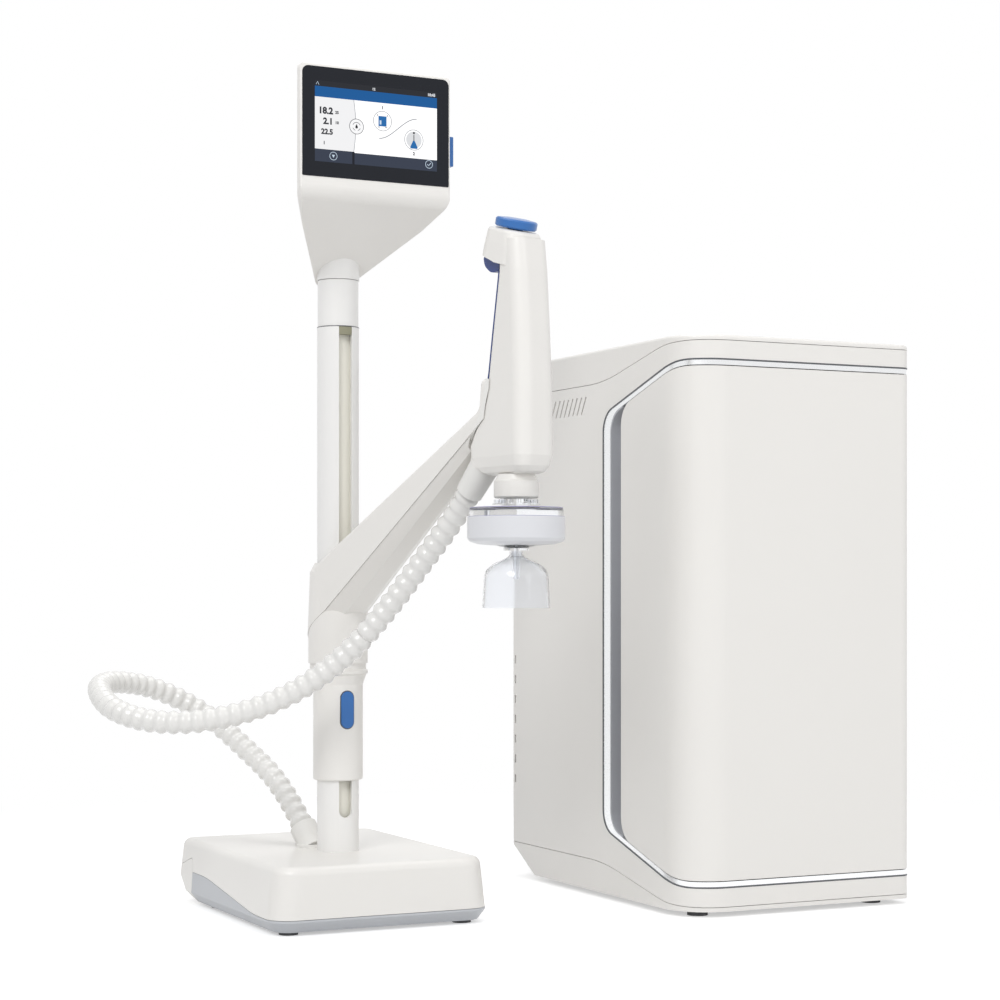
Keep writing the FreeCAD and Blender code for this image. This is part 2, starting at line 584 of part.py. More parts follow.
lower = base_form.common(base_below(0)).cut(tab_gap).cut(pocket)
keep("base_lower_shell", lower)
tab = base_form.common(tab_region)
tab_core = base_form.common(tab_region).translated(v(0, -COVER_WALL, COVER_WALL + COVER_WALL))
tab = tab.cut(tab_core.common(inner_form))
keep("base_rear_tab", tab)
plate = prism([(BASE_X + PLATE_MARGIN, BASE_Y + PLATE_MARGIN, PLATE_MARGIN),
               (BASE_X + BASE_W - PLATE_MARGIN, BASE_Y + PLATE_MARGIN, PLATE_MARGIN),
               (BASE_X + BASE_W - PLATE_MARGIN, BASE_Y + HEEL_Y - PLATE_MARGIN, 0),
               (BASE_X + PLATE_MARGIN, BASE_Y + HEEL_Y - PLATE_MARGIN, 0)],
              "xy", STAND_FOOT_H + COVER_WALL, plate_top)
keep("ballast_plate", plate)
FOOT_SET = 20.0
BASE_FOOT_R = 8.0
FOOT_BACK = 190.0
base_feet = []
for fx in (BASE_X + FOOT_SET, BASE_X + BASE_W - FOOT_SET):
    for fy in (BASE_Y + FOOT_SET, BASE_Y + FOOT_BACK):
        base_feet.append(rod(fx, fy, 0, STAND_FOOT_H, BASE_FOOT_R))
keep("rubber_feet", Part.makeCompound(feet + base_feet))

# Column: a slotted tube, with a rail and a stop block in the slot, and a collar on top
SLOT_HALF = 5.9
SLOT_LOW = 85.4
SLOT_TOP_BLOCK = 498.0
RAIL_HALF = 8.0
RAIL_Y0 = -10.5
RAIL_T = 2.5
SPIGOT_R = 12.0
SPIGOT_H = 34.0
SOCKET_LEN = 20.0
COLLAR_R = 17.5


def at_column(shape):
    return shape.translated(v(COL_X, COL_Y, 0))


column = ring(0, 0, plate_top, COLLAR_LOW, COLUMN_R - COLUMN_WALL, COLUMN_R)
slot = box(-SLOT_HALF, SLOT_HALF, -COLUMN_R - OVERRUN, 0, SLOT_LOW + SLOT_HALF, COLLAR_LOW + OVERRUN)
slot = slot.fuse(Part.makeCylinder(SLOT_HALF, COLUMN_R + OVERRUN, v(0, -COLUMN_R - OVERRUN, SLOT_LOW + SLOT_HALF),
                                   v(0, 1, 0)))
column = column.cut(slot)
keep("column", at_column(column))
rail_low = SLOT_LOW - SLOT_HALF
rail = box(-RAIL_HALF, RAIL_HALF, RAIL_Y0, RAIL_Y0 + RAIL_T, rail_low, COLLAR_LOW)
tube_bore = rod(0, 0, 0, COLLAR_LOW + OVERRUN, COLUMN_R - COLUMN_WALL)
rail_wide = box(-COLUMN_R, COLUMN_R, RAIL_Y0 + RAIL_T, RAIL_Y0 + RAIL_T + RAIL_T, rail_low, COLLAR_LOW)
keep("slot_rail", at_column(rail.fuse(rail_wide.common(tube_bore))))
block = box(-SLOT_HALF, SLOT_HALF, -COLUMN_R - OVERRUN, RAIL_Y0, SLOT_TOP_BLOCK, COLLAR_LOW)
keep("slot_block", at_column(block.common(rod(0, 0, 0, COLLAR_LOW, COLUMN_R - PART_LINE))))
collar = rod(0, 0, COLLAR_LOW, COLLAR_TOP, COLLAR_R)
spigot = rod(0, 0, COLLAR_TOP, COLLAR_TOP + SPIGOT_H, SPIGOT_R)
plug = rod(0, 0, COLLAR_LOW - SOCKET_LEN, COLLAR_LOW, COLUMN_R - COLUMN_WALL)
plug = plug.cut(box(-COLUMN_R, COLUMN_R, -COLUMN_R, RAIL_Y0 + RAIL_T + RAIL_T, 0, COLLAR_LOW))
keep("column_collar", at_column(collar.fuse(spigot).fuse(plug)))

# Screen head: seen from above a wide front drawn back to a round neck, cut below by a slanted plane
HEAD_HALF = 67.0
HEAD_FRONT = 85.6
HEAD_TOP = 711.0
HEAD_CHIN = 602.0
HEAD_CHIN_R = 14.0
HEAD_NECK_R = 20.0
HEAD_HOOK_Z = 540.0
HEAD_EDGE = 8.0
HEAD_BACK_TOP = 74.0
HEAD_BACK_Z = 592.0
HEAD_WALL = 3.0
HEAD_SKIN = 5.0
HEAD_TOP_R = 4.0
HEAD_FRONT_R = 1.5
HEAD_KNEE_R = 22.0
HEAD_KNEE_Z = 603.0
HEAD_TAPER_END = 534.0
NECK_R = 18.3
NECK_GAP = 0.02
HOOK_GAP = 0.9
NECK_TOP = 590.0
UNDER_RISE = (HEAD_CHIN - HEAD_HOOK_Z) / (HEAD_FRONT + HEAD_NECK_R)
BACK_LEAN = (HEAD_TOP - HEAD_BACK_Z) / (HEAD_BACK_TOP + HEAD_NECK_R)


def head_plan(inset):
    """The head's plan drawn in by a distance: straight front, two short sides, a round back."""
    half, back, front = HEAD_HALF - inset, HEAD_NECK_R - inset, HEAD_FRONT - inset
    edge_y = max(-HEAD_FRONT + HEAD_EDGE, -front + HEAD_TOP_R)
    soft = 1 if inset < HEAD_SKIN else 0
    far = math.hypot(half, edge_y)
    turn = math.atan2(edge_y, half) + math.acos(back / far)
    corner_x = back * (1 - math.sin(turn)) / math.cos(turn)
    low, high = HEAD_HOOK_Z - OVERRUN, HEAD_TOP + OVERRUN
    front_r, side_r = HEAD_FRONT_R * soft, HEAD_EDGE * soft
    return prism([(-half, -front, front_r), (half, -front, front_r), (half, edge_y, side_r),
                  (corner_x, back, back), (-corner_x, back, back), (-half, edge_y, side_r)], "xy", low, high)


def head_side(inset):
    """The head's side outline drawn in by a distance, as a solid across it."""
    rise = inset * math.hypot(1, UNDER_RISE)
    drop = inset * math.hypot(1, BACK_LEAN)
    front, back = -HEAD_FRONT + inset, HEAD_NECK_R + OVERRUN
    under = HEAD_CHIN + rise - inset * UNDER_RISE
    under_back = under - UNDER_RISE * (back - front)
    top = HEAD_TOP - inset
    rear_y = -HEAD_BACK_TOP + (drop - inset) / -BACK_LEAN
    rear_z = top - BACK_LEAN * (back - rear_y)
    return prism([(front, under, max(HEAD_CHIN_R - inset, 1)), (back, under_back, 0), (back, rear_z, 0),
                  (rear_y, top, HEAD_EDGE / 2), (front, top, HEAD_TOP_R)], "yz",
                 -HEAD_HALF - OVERRUN, HEAD_HALF + OVERRUN)


def head_front(inset):
    """The head seen from in front, with rounded corners, as a solid from front to back."""
    half, top = HEAD_HALF - inset, HEAD_TOP - inset
    corner = HEAD_CHIN_R - inset
    upper = prism(rounded(-half, half, HEAD_CHIN + inset, top, corner), "xz", -HEAD_FRONT - OVERRUN, HEAD_NECK_R)
    knee = HEAD_KNEE_R - inset
    taper = prism([(-half, top, corner / 2), (half, top, corner / 2), (half, HEAD_KNEE_Z, knee),
                   (HEAD_NECK_R, HEAD_TAPER_END, 0), (-HEAD_NECK_R, HEAD_TAPER_END, 0),
                   (-half, HEAD_KNEE_Z, knee)], "xz", -HEAD_FRONT - OVERRUN, HEAD_NECK_R + OVERRUN)
    return upper.fuse(taper)


def head_form(inset):
    return head_plan(inset).common(head_side(inset)).common(head_front(inset))


head_solid = head_form(0)
neck = rod(0, 0, COLLAR_TOP + PART_LINE, NECK_TOP, NECK_R)
neck_room = rod(0, 0, 0, NECK_TOP + PART_LINE, NECK_R + NECK_GAP)
hook_room = rod(0, 0, 0, COLLAR_TOP + PART_LINE, COLLAR_R + HOOK_GAP)
skin_rise = HEAD_SKIN * math.hypot(1, UNDER_RISE) - HEAD_SKIN * UNDER_RISE
skin_back = HEAD_NECK_R + OVERRUN
skin_low = HEAD_CHIN + skin_rise - UNDER_RISE * (skin_back + HEAD_FRONT - HEAD_SKIN)
head_behind = prism([(-HEAD_FRONT + HEAD_SKIN, HEAD_CHIN + skin_rise, HEAD_CHIN_R - HEAD_SKIN),
                     (skin_back, skin_low, 0), (skin_back, HEAD_TOP + OVERRUN, 0),
                     (-HEAD_FRONT + HEAD_SKIN, HEAD_TOP + OVERRUN, 0)], "yz",
                    -HEAD_HALF - OVERRUN, HEAD_HALF + OVERRUN)
head_cavity = head_form(HEAD_SKIN + HEAD_WALL).cut(rod(0, 0, 0, NECK_TOP + HEAD_WALL, NECK_R + HEAD_WALL))
front_skin = head_solid.cut(head_behind).cut(neck_room)
rear_skin = head_solid.common(head_behind).cut(head_cavity).cut(neck_room).cut(hook_room)

GLASS_HALF = 65.4
GLASS_LOW = 617.3
GLASS_TOP = 707.1
GLASS_R = 5.5
GLASS_LOW_R = 1.0
GLASS_T = 1.6
GLASS_PROUD = 0.3
DISPLAY_HALF = 54.5
DISPLAY_LOW = 631.0
DISPLAY_TOP = 697.0
DISPLAY_T = 2.6
window_y = -HEAD_FRONT
glass_plan = [(-GLASS_HALF, GLASS_LOW, GLASS_LOW_R), (GLASS_HALF, GLASS_LOW, GLASS_LOW_R),
              (GLASS_HALF, GLASS_TOP, GLASS_R), (-GLASS_HALF, GLASS_TOP, GLASS_R)]
glass = prism(glass_plan, "xz",
              window_y - GLASS_PROUD, window_y - GLASS_PROUD + GLASS_T)
glass_seat = prism(glass_plan, "xz",
                   window_y - OVERRUN, window_y - GLASS_PROUD + GLASS_T)
display_room = box(-DISPLAY_HALF, DISPLAY_HALF, window_y - OVERRUN, window_y + HEAD_SKIN + OVERRUN,
                   DISPLAY_LOW, DISPLAY_TOP)
front_skin = front_skin.cut(glass_seat).cut(display_room)
keep("head_front_shell", at_column(front_skin))

KEY_LOW = 637.0
KEY_TOP = 662.0
KEY_OUT = 7.6
KEY_T = 5.0
KEY_IN = 12.0
KEY_Y = -76.0
key = box(HEAD_HALF - KEY_IN, HEAD_HALF + KEY_OUT, KEY_Y, KEY_Y + KEY_T, KEY_LOW, KEY_TOP)
key = soften(key, KEY_T / 4, lambda e: e.BoundBox.XMin > HEAD_HALF)
key_room = box(HEAD_HALF - KEY_IN - PART_LINE, HEAD_HALF + OVERRUN, KEY_Y - RUNNING_GAP,
               KEY_Y + KEY_T + RUNNING_GAP, KEY_LOW - RUNNING_GAP, KEY_TOP + RUNNING_GAP)
key_case = box(HEAD_HALF - KEY_IN - HEAD_WALL, HEAD_HALF - HEAD_WALL, KEY_Y - OVERRUN,
               KEY_Y + KEY_T + OVERRUN, KEY_LOW - OVERRUN, KEY_TOP + OVERRUN).common(head_solid)
keep("head_rear_shell", at_column(rear_skin.fuse(key_case).cut(key_room)))
keep("data_key", at_column(key))
keep("screen_glass", at_column(glass))
keep("display_panel", at_column(box(-DISPLAY_HALF, DISPLAY_HALF, window_y - GLASS_PROUD + GLASS_T,
                                    window_y - GLASS_PROUD + GLASS_T + DISPLAY_T, DISPLAY_LOW, DISPLAY_TOP)))
keep("head_neck", at_column(neck.cut(rod(0, 0, 0, COLLAR_TOP + SPIGOT_H + PART_LINE, SPIGOT_R + RUNNING_GAP))))

# Carriage on the column: a sleeve that widens to a swivel ring, with an oblong release button
SLEEVE_R = 21.4
SLEEVE_LOW = 117.0
SLEEVE_CONE_Z = 199.0
SLEEVE_TOP = 208.0
HUB_R = 25.6
HUB_LOW = 217.0
BUTTON_HALF = 5.65
BUTTON_HALF_H = 15.75
BUTTON_Z = 177.6
BUTTON_FRONT = 22.6
BUTTON_T = 2.6
BUTTON_GAP = 0.15
BUTTON_EDGE_R = 0.8
LOCK_PIN_R = 2.5
LOCK_PIN_END = 12.6
SWIVEL_GROOVE = 1.4
LIP_H = 3.0
slide_r = COLUMN_R + RUNNING_GAP
sleeve = turned(0, 0, [(slide_r, SLEEVE_LOW), (SLEEVE_R - 1, SLEEVE_LOW), (SLEEVE_R, SLEEVE_LOW + 1),
                       (SLEEVE_R, SLEEVE_CONE_Z), (HUB_R - SWIVEL_GROOVE, SLEEVE_TOP - 1),
                       (HUB_R - SWIVEL_GROOVE, SLEEVE_TOP), (slide_r, SLEEVE_TOP)])
button_plan = rounded(-BUTTON_HALF, BUTTON_HALF, BUTTON_Z - BUTTON_HALF_H, BUTTON_Z + BUTTON_HALF_H, BUTTON_HALF - 0.01)
button = prism(button_plan, "xz", -BUTTON_FRONT, -BUTTON_FRONT + BUTTON_T)
button_hole = prism(rounded(-BUTTON_HALF - BUTTON_GAP, BUTTON_HALF + BUTTON_GAP, BUTTON_Z - BUTTON_HALF_H - BUTTON_GAP,
                            BUTTON_Z + BUTTON_HALF_H + BUTTON_GAP, BUTTON_HALF + BUTTON_GAP - 0.01),
                    "xz", -BUTTON_FRONT - OVERRUN, 0)
keep("carriage_sleeve", at_column(sleeve.cut(button_hole)))
button = soften(button, BUTTON_EDGE_R, lambda e: abs(e.BoundBox.YMax + BUTTON_FRONT) < 0.01)
lock_pin = Part.makeCylinder(LOCK_PIN_R, BUTTON_FRONT - BUTTON_T - LOCK_PIN_END,
                             v(0, -BUTTON_FRONT + BUTTON_T, BUTTON_Z), v(0, 1, 0))
keep("release_button", at_column(button.fuse(lock_pin)))
keep("swivel_ring", at_column(turned(0, 0, [(slide_r, SLEEVE_TOP), (HUB_R, SLEEVE_TOP), (HUB_R, SLEEVE_TOP + LIP_H),
                                           (HUB_R - SWIVEL_GROOVE, SLEEVE_TOP + LIP_H + 1),
                                           (HUB_R - SWIVEL_GROOVE, HUB_LOW), (slide_r, HUB_LOW)])))

# Arm: worked out pointing straight forward from the column axis, then turned about it.
# reach is measured forward from the axis.
def at_arm(shape):
    turned_shape = shape.copy()
    turned_shape.rotate(v(0, 0, 0), v(0, 0, 1), ARM_TURN)
    return turned_shape.translated(v(COL_X, COL_Y, 0))


def side(points, half):
    """A solid across the arm from (reach, z, radius) points."""
    return prism([(-u, z, r) for u, z, r in points], "yz", -half, half)


SEAM_Z = 252.5
SEAM_END_Z = 408.2
TOP_Z = 302.0
TOP_END_Z = 421.37
BELLY_Z = 239.2
BELLY_END_Z = 413.81
ARM_HALF_HUB = 24.4
ARM_HALF_END = 14.0
TONGUE_RISE = 23.63
TONGUE_TOP = TOP_END_Z + TONGUE_RISE
TONGUE_BACK = 29.4
TONGUE_LEAN = 2.6
TONGUE_FRONT = 14.0
tongue_u = ARM_REACH - TONGUE_BACK
tongue_end = ARM_REACH - TONGUE_FRONT
SEAM_RISE = (SEAM_END_Z - SEAM_Z) / tongue_u
TOP_RISE = (TOP_END_Z - TOP_Z) / tongue_u
BELLY_RISE = (BELLY_END_Z - BELLY_Z) / tongue_end
ARM_EDGE_R = 4.0
ARM_WALL = 2.6
ARM_KEEL = 15.0
ARM_KEEL_END = 8.0
ARM_LEDGE = 1.2
CRADLE_GAP = 0.7
PAD_T = 1.6
HUB_BOT_R = 26.5
HUB_MID_R = 24.2
HUB_SHOULDER_Z = 295.0
HUB_TOP_Z = 303.0
HUB_TOP_R = 20.0
BUSH_R = 20.0
CUFF_AXIS = (0.69, 0.724)
CUFF_END = (57.5, 358.0)
CUFF_R = 12.0
CUFF_MOUTH_R = 11.0
CUFF_LEN = 28.0
CHIN_R = 12.8
CHIN_LEN = 44.0
HOOD_R = 10.8


def seam_z(u):
    return SEAM_Z + SEAM_RISE * u


def top_z(u):
    return TOP_Z + TOP_RISE * u


def belly_z(u):
    return BELLY_Z + BELLY_RISE * u


def arm_plan(inset):
    """The arm seen from above: widest at the hub, narrow at the cradle."""
    near, far = ARM_HALF_HUB - inset, ARM_HALF_END - inset
    end = ARM_REACH - inset
    return prism([(-near, 0, 0), (-far, -end, 0), (far, -end, 0), (near, 0, 0)], "xy", 0, HEAD_TOP)


def beam(inset):
    """The arm's body between its top line and its belly, up to the tongue behind the handset."""
    lift = inset * math.hypot(1, TOP_RISE)
    keel = inset * math.hypot(1, BELLY_RISE)
    body = side([(0, belly_z(0) + keel, 0), (tongue_end - inset, belly_z(tongue_end - inset) + keel, 0),
                 (tongue_end - inset, TONGUE_TOP - inset, ARM_EDGE_R),
                 (tongue_u + TONGUE_LEAN + inset, TONGUE_TOP - inset, ARM_EDGE_R),
                 (tongue_u + inset, top_z(tongue_u) - lift, 10.0), (0, top_z(0) - lift, 0)], ARM_HALF_HUB)
    return body.common(arm_plan(inset))


def keeled(inset):
    """What lies within the arm's lower sides, which slant in from the seam, drawn in by a distance."""
    end_half = ARM_HALF_HUB + (ARM_HALF_END - ARM_HALF_HUB) * tongue_end / ARM_REACH
    wires = []
    for u, half, draw in ((0, ARM_HALF_HUB, ARM_KEEL), (tongue_end, end_half, ARM_KEEL_END)):
        right = [(half, HEAD_TOP), (half, seam_z(u)), (half - inset, seam_z(u)), (half - draw - inset, belly_z(u))]
        left = [(-x, z) for x, z in reversed(right)]
        wires.append(outline([(x, z, 0) for x, z in right + left], "xz", -u))
    return Part.makeLoft(wires, True, True)


def cuff_point(along):
    """A point on the line through the cuff, a distance up from its open end."""
    return v(0, -(ARM_REACH - CUFF_END[0] + along * CUFF_AXIS[0]), CUFF_END[1] + along * CUFF_AXIS[1])


CUFF_DIR = v(0, -CUFF_AXIS[0], CUFF_AXIS[1])


def along_cuff(start, length, r):
    return Part.makeCylinder(r, length, cuff_point(start), CUFF_DIR)


# Handset sections: (z, back, front, back half-width, front half-width), back and front from the outlet axis
GRIP = [(376.0, -38.5, 26.4, 12.0, 17.4), (384.0, -43.0, 28.6, 12.5, 19.6), (393.0, -44.0, 28.6, 12.5, 19.8),
        (405.0, -37.0, 28.5, 12.8, 19.8), (416.0, -28.6, 28.5, 13.4, 19.8), (427.0, -23.4, 28.4, 13.6, 19.8),
        (437.0, -21.5, 28.3, 13.2, 19.7), (482.0, -14.0, 26.3, 13.6, 19.5), (527.0, -4.7, 23.3, 15.4, 19.0),
        (551.0, -3.4, 20.5, 16.0, 18.2)]
GRIP_BASE = [(370.0, -26.0, 18.5, 8.5, 10.5), (371.6, -31.0, 23.2, 10.5, 14.4)]
GRIP_BACK_R = 6.0
GRIP_FRONT_R = 11.0
GRIP_HALF = 19.8
HEAD_TILT = 15.0
DISC_Z = 564.6
DISC_R = 16.5
DISC_T = 8.0
DISC_RISE = 2.0
DISC_EDGE = 1.2
CAP_SECTIONS = [(-31.0, -21.6, 24.4, 17.9), (-16.0, -21.0, 22.6, 17.9), (-7.0, -20.4, 19.4, 17.4),
                (-4.9, -19.6, 18.0, 16.4), (-4.2, -18.4, 16.4, 14.8)]
CAP_R = 13.0
HANDLE_WALL = 2.4
LIP_BACK = 26.0


def level(z, back, front, half_back, half_front, r_back, r_front):
    """One level section of the handset as a closed wire."""
    y0, y1 = -(ARM_REACH + back), -(ARM_REACH + front)
    return outline([(-half_back, y0, r_back), (-half_front, y1, r_front),
                    (half_front, y1, r_front), (half_back, y0, r_back)], "xy", z)


def grip(grow):
    """The handset's grip, grown outwards by a distance."""
    sections = [(z - grow, b, f, hb, hf) for z, b, f, hb, hf in GRIP_BASE] + GRIP
    wires = [level(z, b - grow, f + grow, hb + grow, hf + grow, GRIP_BACK_R + grow / 2, GRIP_FRONT_R * hf / GRIP_HALF)
             for z, b, f, hb, hf in sections]
    return Part.makeLoft(wires, True, True)


def tilt_cap(shape):
    """Moves a piece made about the disc's centre to its tilted place on the handset."""
    moved = shape.copy()
    moved.rotate(v(0, 0, 0), v(1, 0, 0), HEAD_TILT)
    return moved.translated(v(0, -ARM_REACH, DISC_Z))


def cap(grow):
    wires = []
    for z, b, f, h in CAP_SECTIONS:
        rise = grow if z > CAP_SECTIONS[1][0] else 0
        wires.append(outline([(-h - grow, -b + grow, CAP_R + grow / 2), (-h - grow, -f - grow, CAP_R + grow / 2),
                              (h + grow, -f - grow, CAP_R + grow / 2), (h + grow, -b + grow, CAP_R + grow / 2)],
                             "xy", z + rise))
    return tilt_cap(Part.makeLoft(wires, True, True))


def handset_u(du):
    return ARM_REACH + du


UNDER_CAP = [(handset_u(-60), 400, 0), (handset_u(-60), 562, 0), (handset_u(-LIP_BACK - 8), 548, 0),
             (handset_u(-LIP_BACK), 543.6, 0), (handset_u(-5.5), 534.0, 4.0), (handset_u(-6.5), 524, 0),
             (handset_u(-30), 400, 0)]


def handset_form(grow):
    head_part = cap(grow).cut(side(UNDER_CAP, HEAD_HALF))
    low_cut = side([(handset_u(-40), 480, 0), (handset_u(60), 480, 0), (handset_u(60), 526, 0),
                    (handset_u(-40), 526, 0)], HEAD_HALF)
    head_part = head_part.cut(low_cut)
    chin = along_cuff(CUFF_LEN, CHIN_LEN, CHIN_R + grow)
    if grow > 0:
        chin = along_cuff(CUFF_LEN - grow, CHIN_LEN, CHIN_R + grow)
    return grip(grow).fuse(head_part).fuse(chin)


solid_handset = handset_form(0)
room = grip(CRADLE_GAP).fuse(along_cuff(CUFF_LEN - CRADLE_GAP, CHIN_LEN, CHIN_R + CRADLE_GAP))
room = room.fuse(along_cuff(-OVERRUN, CUFF_LEN + OVERRUN, CUFF_R + CRADLE_GAP))
pad_room = grip(CRADLE_GAP + PAD_T).fuse(
    along_cuff(CUFF_LEN - CRADLE_GAP - PAD_T, CHIN_LEN, CHIN_R + CRADLE_GAP + PAD_T))
pad_room = pad_room.fuse(along_cuff(-OVERRUN, CUFF_LEN + OVERRUN, CUFF_R + CRADLE_GAP + OVERRUN))
axis_lo, axis_hi = cuff_point(-CUFF_LEN), cuff_point(CHIN_LEN + CUFF_LEN + CUFF_LEN)
ahead = side([(-axis_lo.y, axis_lo.z, 0), (-axis_hi.y, axis_hi.z, 0), (-axis_hi.y + COLUMN_R, axis_hi.z, 0),
              (-axis_hi.y + COLUMN_R, axis_lo.z - COLUMN_R, 0), (-axis_lo.y, axis_lo.z - COLUMN_R, 0)], HEAD_HALF)

arm_bore = rod(0, 0, 0, HEAD_TOP, BUSH_R)
far_u = ARM_REACH + COLUMN_R
near_u = -HUB_BOT_R - OVERRUN
above_seam = side([(near_u, seam_z(near_u) + PART_LINE, 0), (far_u, seam_z(far_u) + PART_LINE, 0),
                   (far_u, HEAD_TOP, 0), (near_u, HEAD_TOP, 0)], HEAD_HALF)
below_seam = side([(near_u, seam_z(near_u), 0), (far_u, seam_z(far_u), 0), (far_u, 0, 0), (near_u, 0, 0)],
                  HEAD_HALF)
hub_low = seam_z(near_u) - OVERRUN
hub_upper = turned(0, 0, [(0, hub_low), (HUB_BOT_R, hub_low), (HUB_MID_R, HUB_SHOULDER_Z),
                          (HUB_TOP_R, HUB_TOP_Z), (0, HUB_TOP_Z)])
top_edges = beam(0)
top_edges = soften(top_edges, ARM_EDGE_R, lambda e: e.Length > ARM_REACH / 2
                   and abs(e.CenterOfMass.z - top_z(-e.CenterOfMass.y)) < 1)
arm_outer = top_edges.fuse(hub_upper).cut(pad_room).cut(ahead)
arm_hollow = beam(ARM_WALL).common(keeled(ARM_WALL + ARM_LEDGE)).cut(pad_room).cut(rod(0, 0, 0, HEAD_TOP, BUSH_R + ARM_WALL))
keep_tip = side([(tongue_u - HUB_R, 0, 0), (far_u, 0, 0), (far_u, HEAD_TOP, 0), (tongue_u - HUB_R, HEAD_TOP, 0)],
                HEAD_HALF)
arm_hollow = arm_hollow.cut(keep_tip)
keep("arm_upper_shell", at_arm(arm_outer.common(above_seam).cut(arm_hollow).cut(arm_bore)))
hub_lower = rod(0, 0, HUB_LOW, seam_z(HUB_R) + OVERRUN, HUB_R)
belly = beam(ARM_LEDGE).common(keeled(ARM_LEDGE))
arm_under = belly.fuse(hub_lower).cut(pad_room).cut(ahead)
keep("arm_lower_shell", at_arm(arm_under.common(below_seam).cut(arm_hollow).cut(arm_bore)))
pad = pad_room.common(beam(0)).cut(room).cut(ahead).common(above_seam)
pad = pad.cut(along_cuff(-OVERRUN, CUFF_LEN - CRADLE_GAP - PAD_T + OVERRUN, CUFF_R + CRADLE_GAP + OVERRUN))
keep("cradle_pad", at_arm(pad))
keep("arm_bush", at_arm(ring(0, 0, HUB_LOW, HUB_TOP_Z - OVERRUN, slide_r, BUSH_R)))

# Handset: two hollow shells parted along the side, the cuff, the trigger, the disc and the outlet
TRIG_HALF = 10.5
OUTLET_R = 17.5
OUTLET_LOW = 351.4
OUTLET_TOP = 365.6
OUTLET_NECK_R = 16.4
COUPLING_R = 11.0
VALVE_R = 9.0
VALVE_LEN = 60.0
INLAY_HALF = 9.5
INLAY_OUT = 1.5
TRIG_GAP = 0.5
PLUNGER_R = 6.0
PLUNGER_LOW = 14.0
DISC_LIFT = 4.8
rear_region = side([(handset_u(-60), 575, 0), (handset_u(-30), 556.6, 0),
                    (handset_u(-4), 543.0, 12.0), (handset_u(9), 520, 14.0), (handset_u(9), 405, 8.0),
                    (handset_u(-30), 362, 0), (handset_u(-60), 340, 0)], HEAD_HALF)
grip_cavity = grip(-HANDLE_WALL)
cap_cavity = cap(-HANDLE_WALL).cut(side([(u - HANDLE_WALL if u < handset_u(-7) else u, z + HANDLE_WALL, r)
                                         for u, z, r in UNDER_CAP], HEAD_HALF))
cap_floor = side([(handset_u(-40), 480, 0), (handset_u(60), 480, 0), (handset_u(60), 530, 0),
                  (handset_u(-40), 530, 0)], HEAD_HALF)
cavity = grip_cavity.fuse(cap_cavity.cut(cap_floor))
plunger_hole = tilt_cap(rod(0, 0, -16.0, OVERRUN, PLUNGER_R + RUNNING_GAP))
valve_room = rod(0, -ARM_REACH, GRIP_BASE[0][0] - OVERRUN, GRIP[1][0], VALVE_R)
cuff_room = along_cuff(CUFF_LEN - OVERRUN, CUFF_LEN, HOOD_R)
trig_room = side([(handset_u(-30), 548.2, 0), (handset_u(-8), 543.2, 0), (handset_u(-2.4), 540.4, 0),
                  (handset_u(-2.4), 527, 0), (handset_u(-30), 527, 0)], TRIG_HALF + TRIG_GAP)
TRIG_PIN_R = 1.5
trig_axis = v(0, -handset_u(-7.0), 537.0)
pin_line = Part.makeCylinder(TRIG_PIN_R, TRIG_HALF * 2 + HANDLE_WALL, trig_axis - v(TRIG_HALF + HANDLE_WALL / 2, 0, 0),
                             v(1, 0, 0))
cuff_seat = along_cuff(-CUFF_LEN, CUFF_LEN + CUFF_LEN, CUFF_R + RUNNING_GAP)
handset_shell = solid_handset.cut(cavity).cut(plunger_hole).cut(valve_room).cut(cuff_room).cut(cuff_seat)
handset_shell = handset_shell.cut(pin_line)
rear_shell = handset_shell.common(rear_region).cut(trig_room)
front_shell = handset_shell.cut(rear_region).cut(trig_room)
keep("handset_front_shell", at_arm(front_shell))
rear_shell = max(rear_shell.Solids, key=lambda piece: piece.Volume)
keep("handset_rear_shell", at_arm(rear_shell))
inlay_u = [(z, b) for z, b, f, hb, hf in GRIP if DISC_Z > z > TONGUE_TOP - PAD_T and z < UNDER_CAP[4][1]]
tongue_sections = GRIP[-4], GRIP[-3]
inlay_lean = (tongue_sections[1][1] - tongue_sections[0][1]) / (tongue_sections[1][0] - tongue_sections[0][0])
inlay_low = (TONGUE_TOP + PART_LINE, tongue_sections[0][1] + (TONGUE_TOP - tongue_sections[0][0]) * inlay_lean)
inlay_pts = [inlay_low] + inlay_u
inlay = side([(handset_u(b - INLAY_OUT), z, 0) for z, b in inlay_pts]
             + [(handset_u(b), z, 0) for z, b in reversed(inlay_pts)], INLAY_HALF)
keep("grip_inlay", at_arm(inlay))

cuff = Part.makeCone(CUFF_MOUTH_R, CUFF_R, CUFF_LEN, cuff_point(0), CUFF_DIR).cut(along_cuff(-OVERRUN, HOSE_R, HOSE_R))
keep("hose_cuff", at_arm(cuff))

trigger = side([(handset_u(-27.5), 541.0, 2.0), (handset_u(-26.0), 534.0, 9.0), (handset_u(-18.0), 527.6, 10.0),
                (handset_u(-8.8), 528.2, 3.0), (handset_u(-8.0), 533.4, 1.0), (handset_u(-12.0), 536.0, 1.0),
                (handset_u(-24.0), 542.0, 1.0)], TRIG_HALF)
trig_pivot = side([(handset_u(-13.0), 532.0, 0), (handset_u(-8.0), 530.4, 0), (handset_u(-4.2), 533.4, 1.0),
                   (handset_u(-4.2), 539.2, 1.0), (handset_u(-13.0), 541.0, 1.0)], TRIG_HALF - 3)
pin_hole = Part.makeCylinder(TRIG_PIN_R + RUNNING_GAP, TRIG_HALF * 4, trig_axis - v(TRIG_HALF * 2, 0, 0), v(1, 0, 0))
keep("trigger", at_arm(trigger.fuse(trig_pivot).cut(pin_hole)))
keep("trigger_pin", at_arm(pin_line))

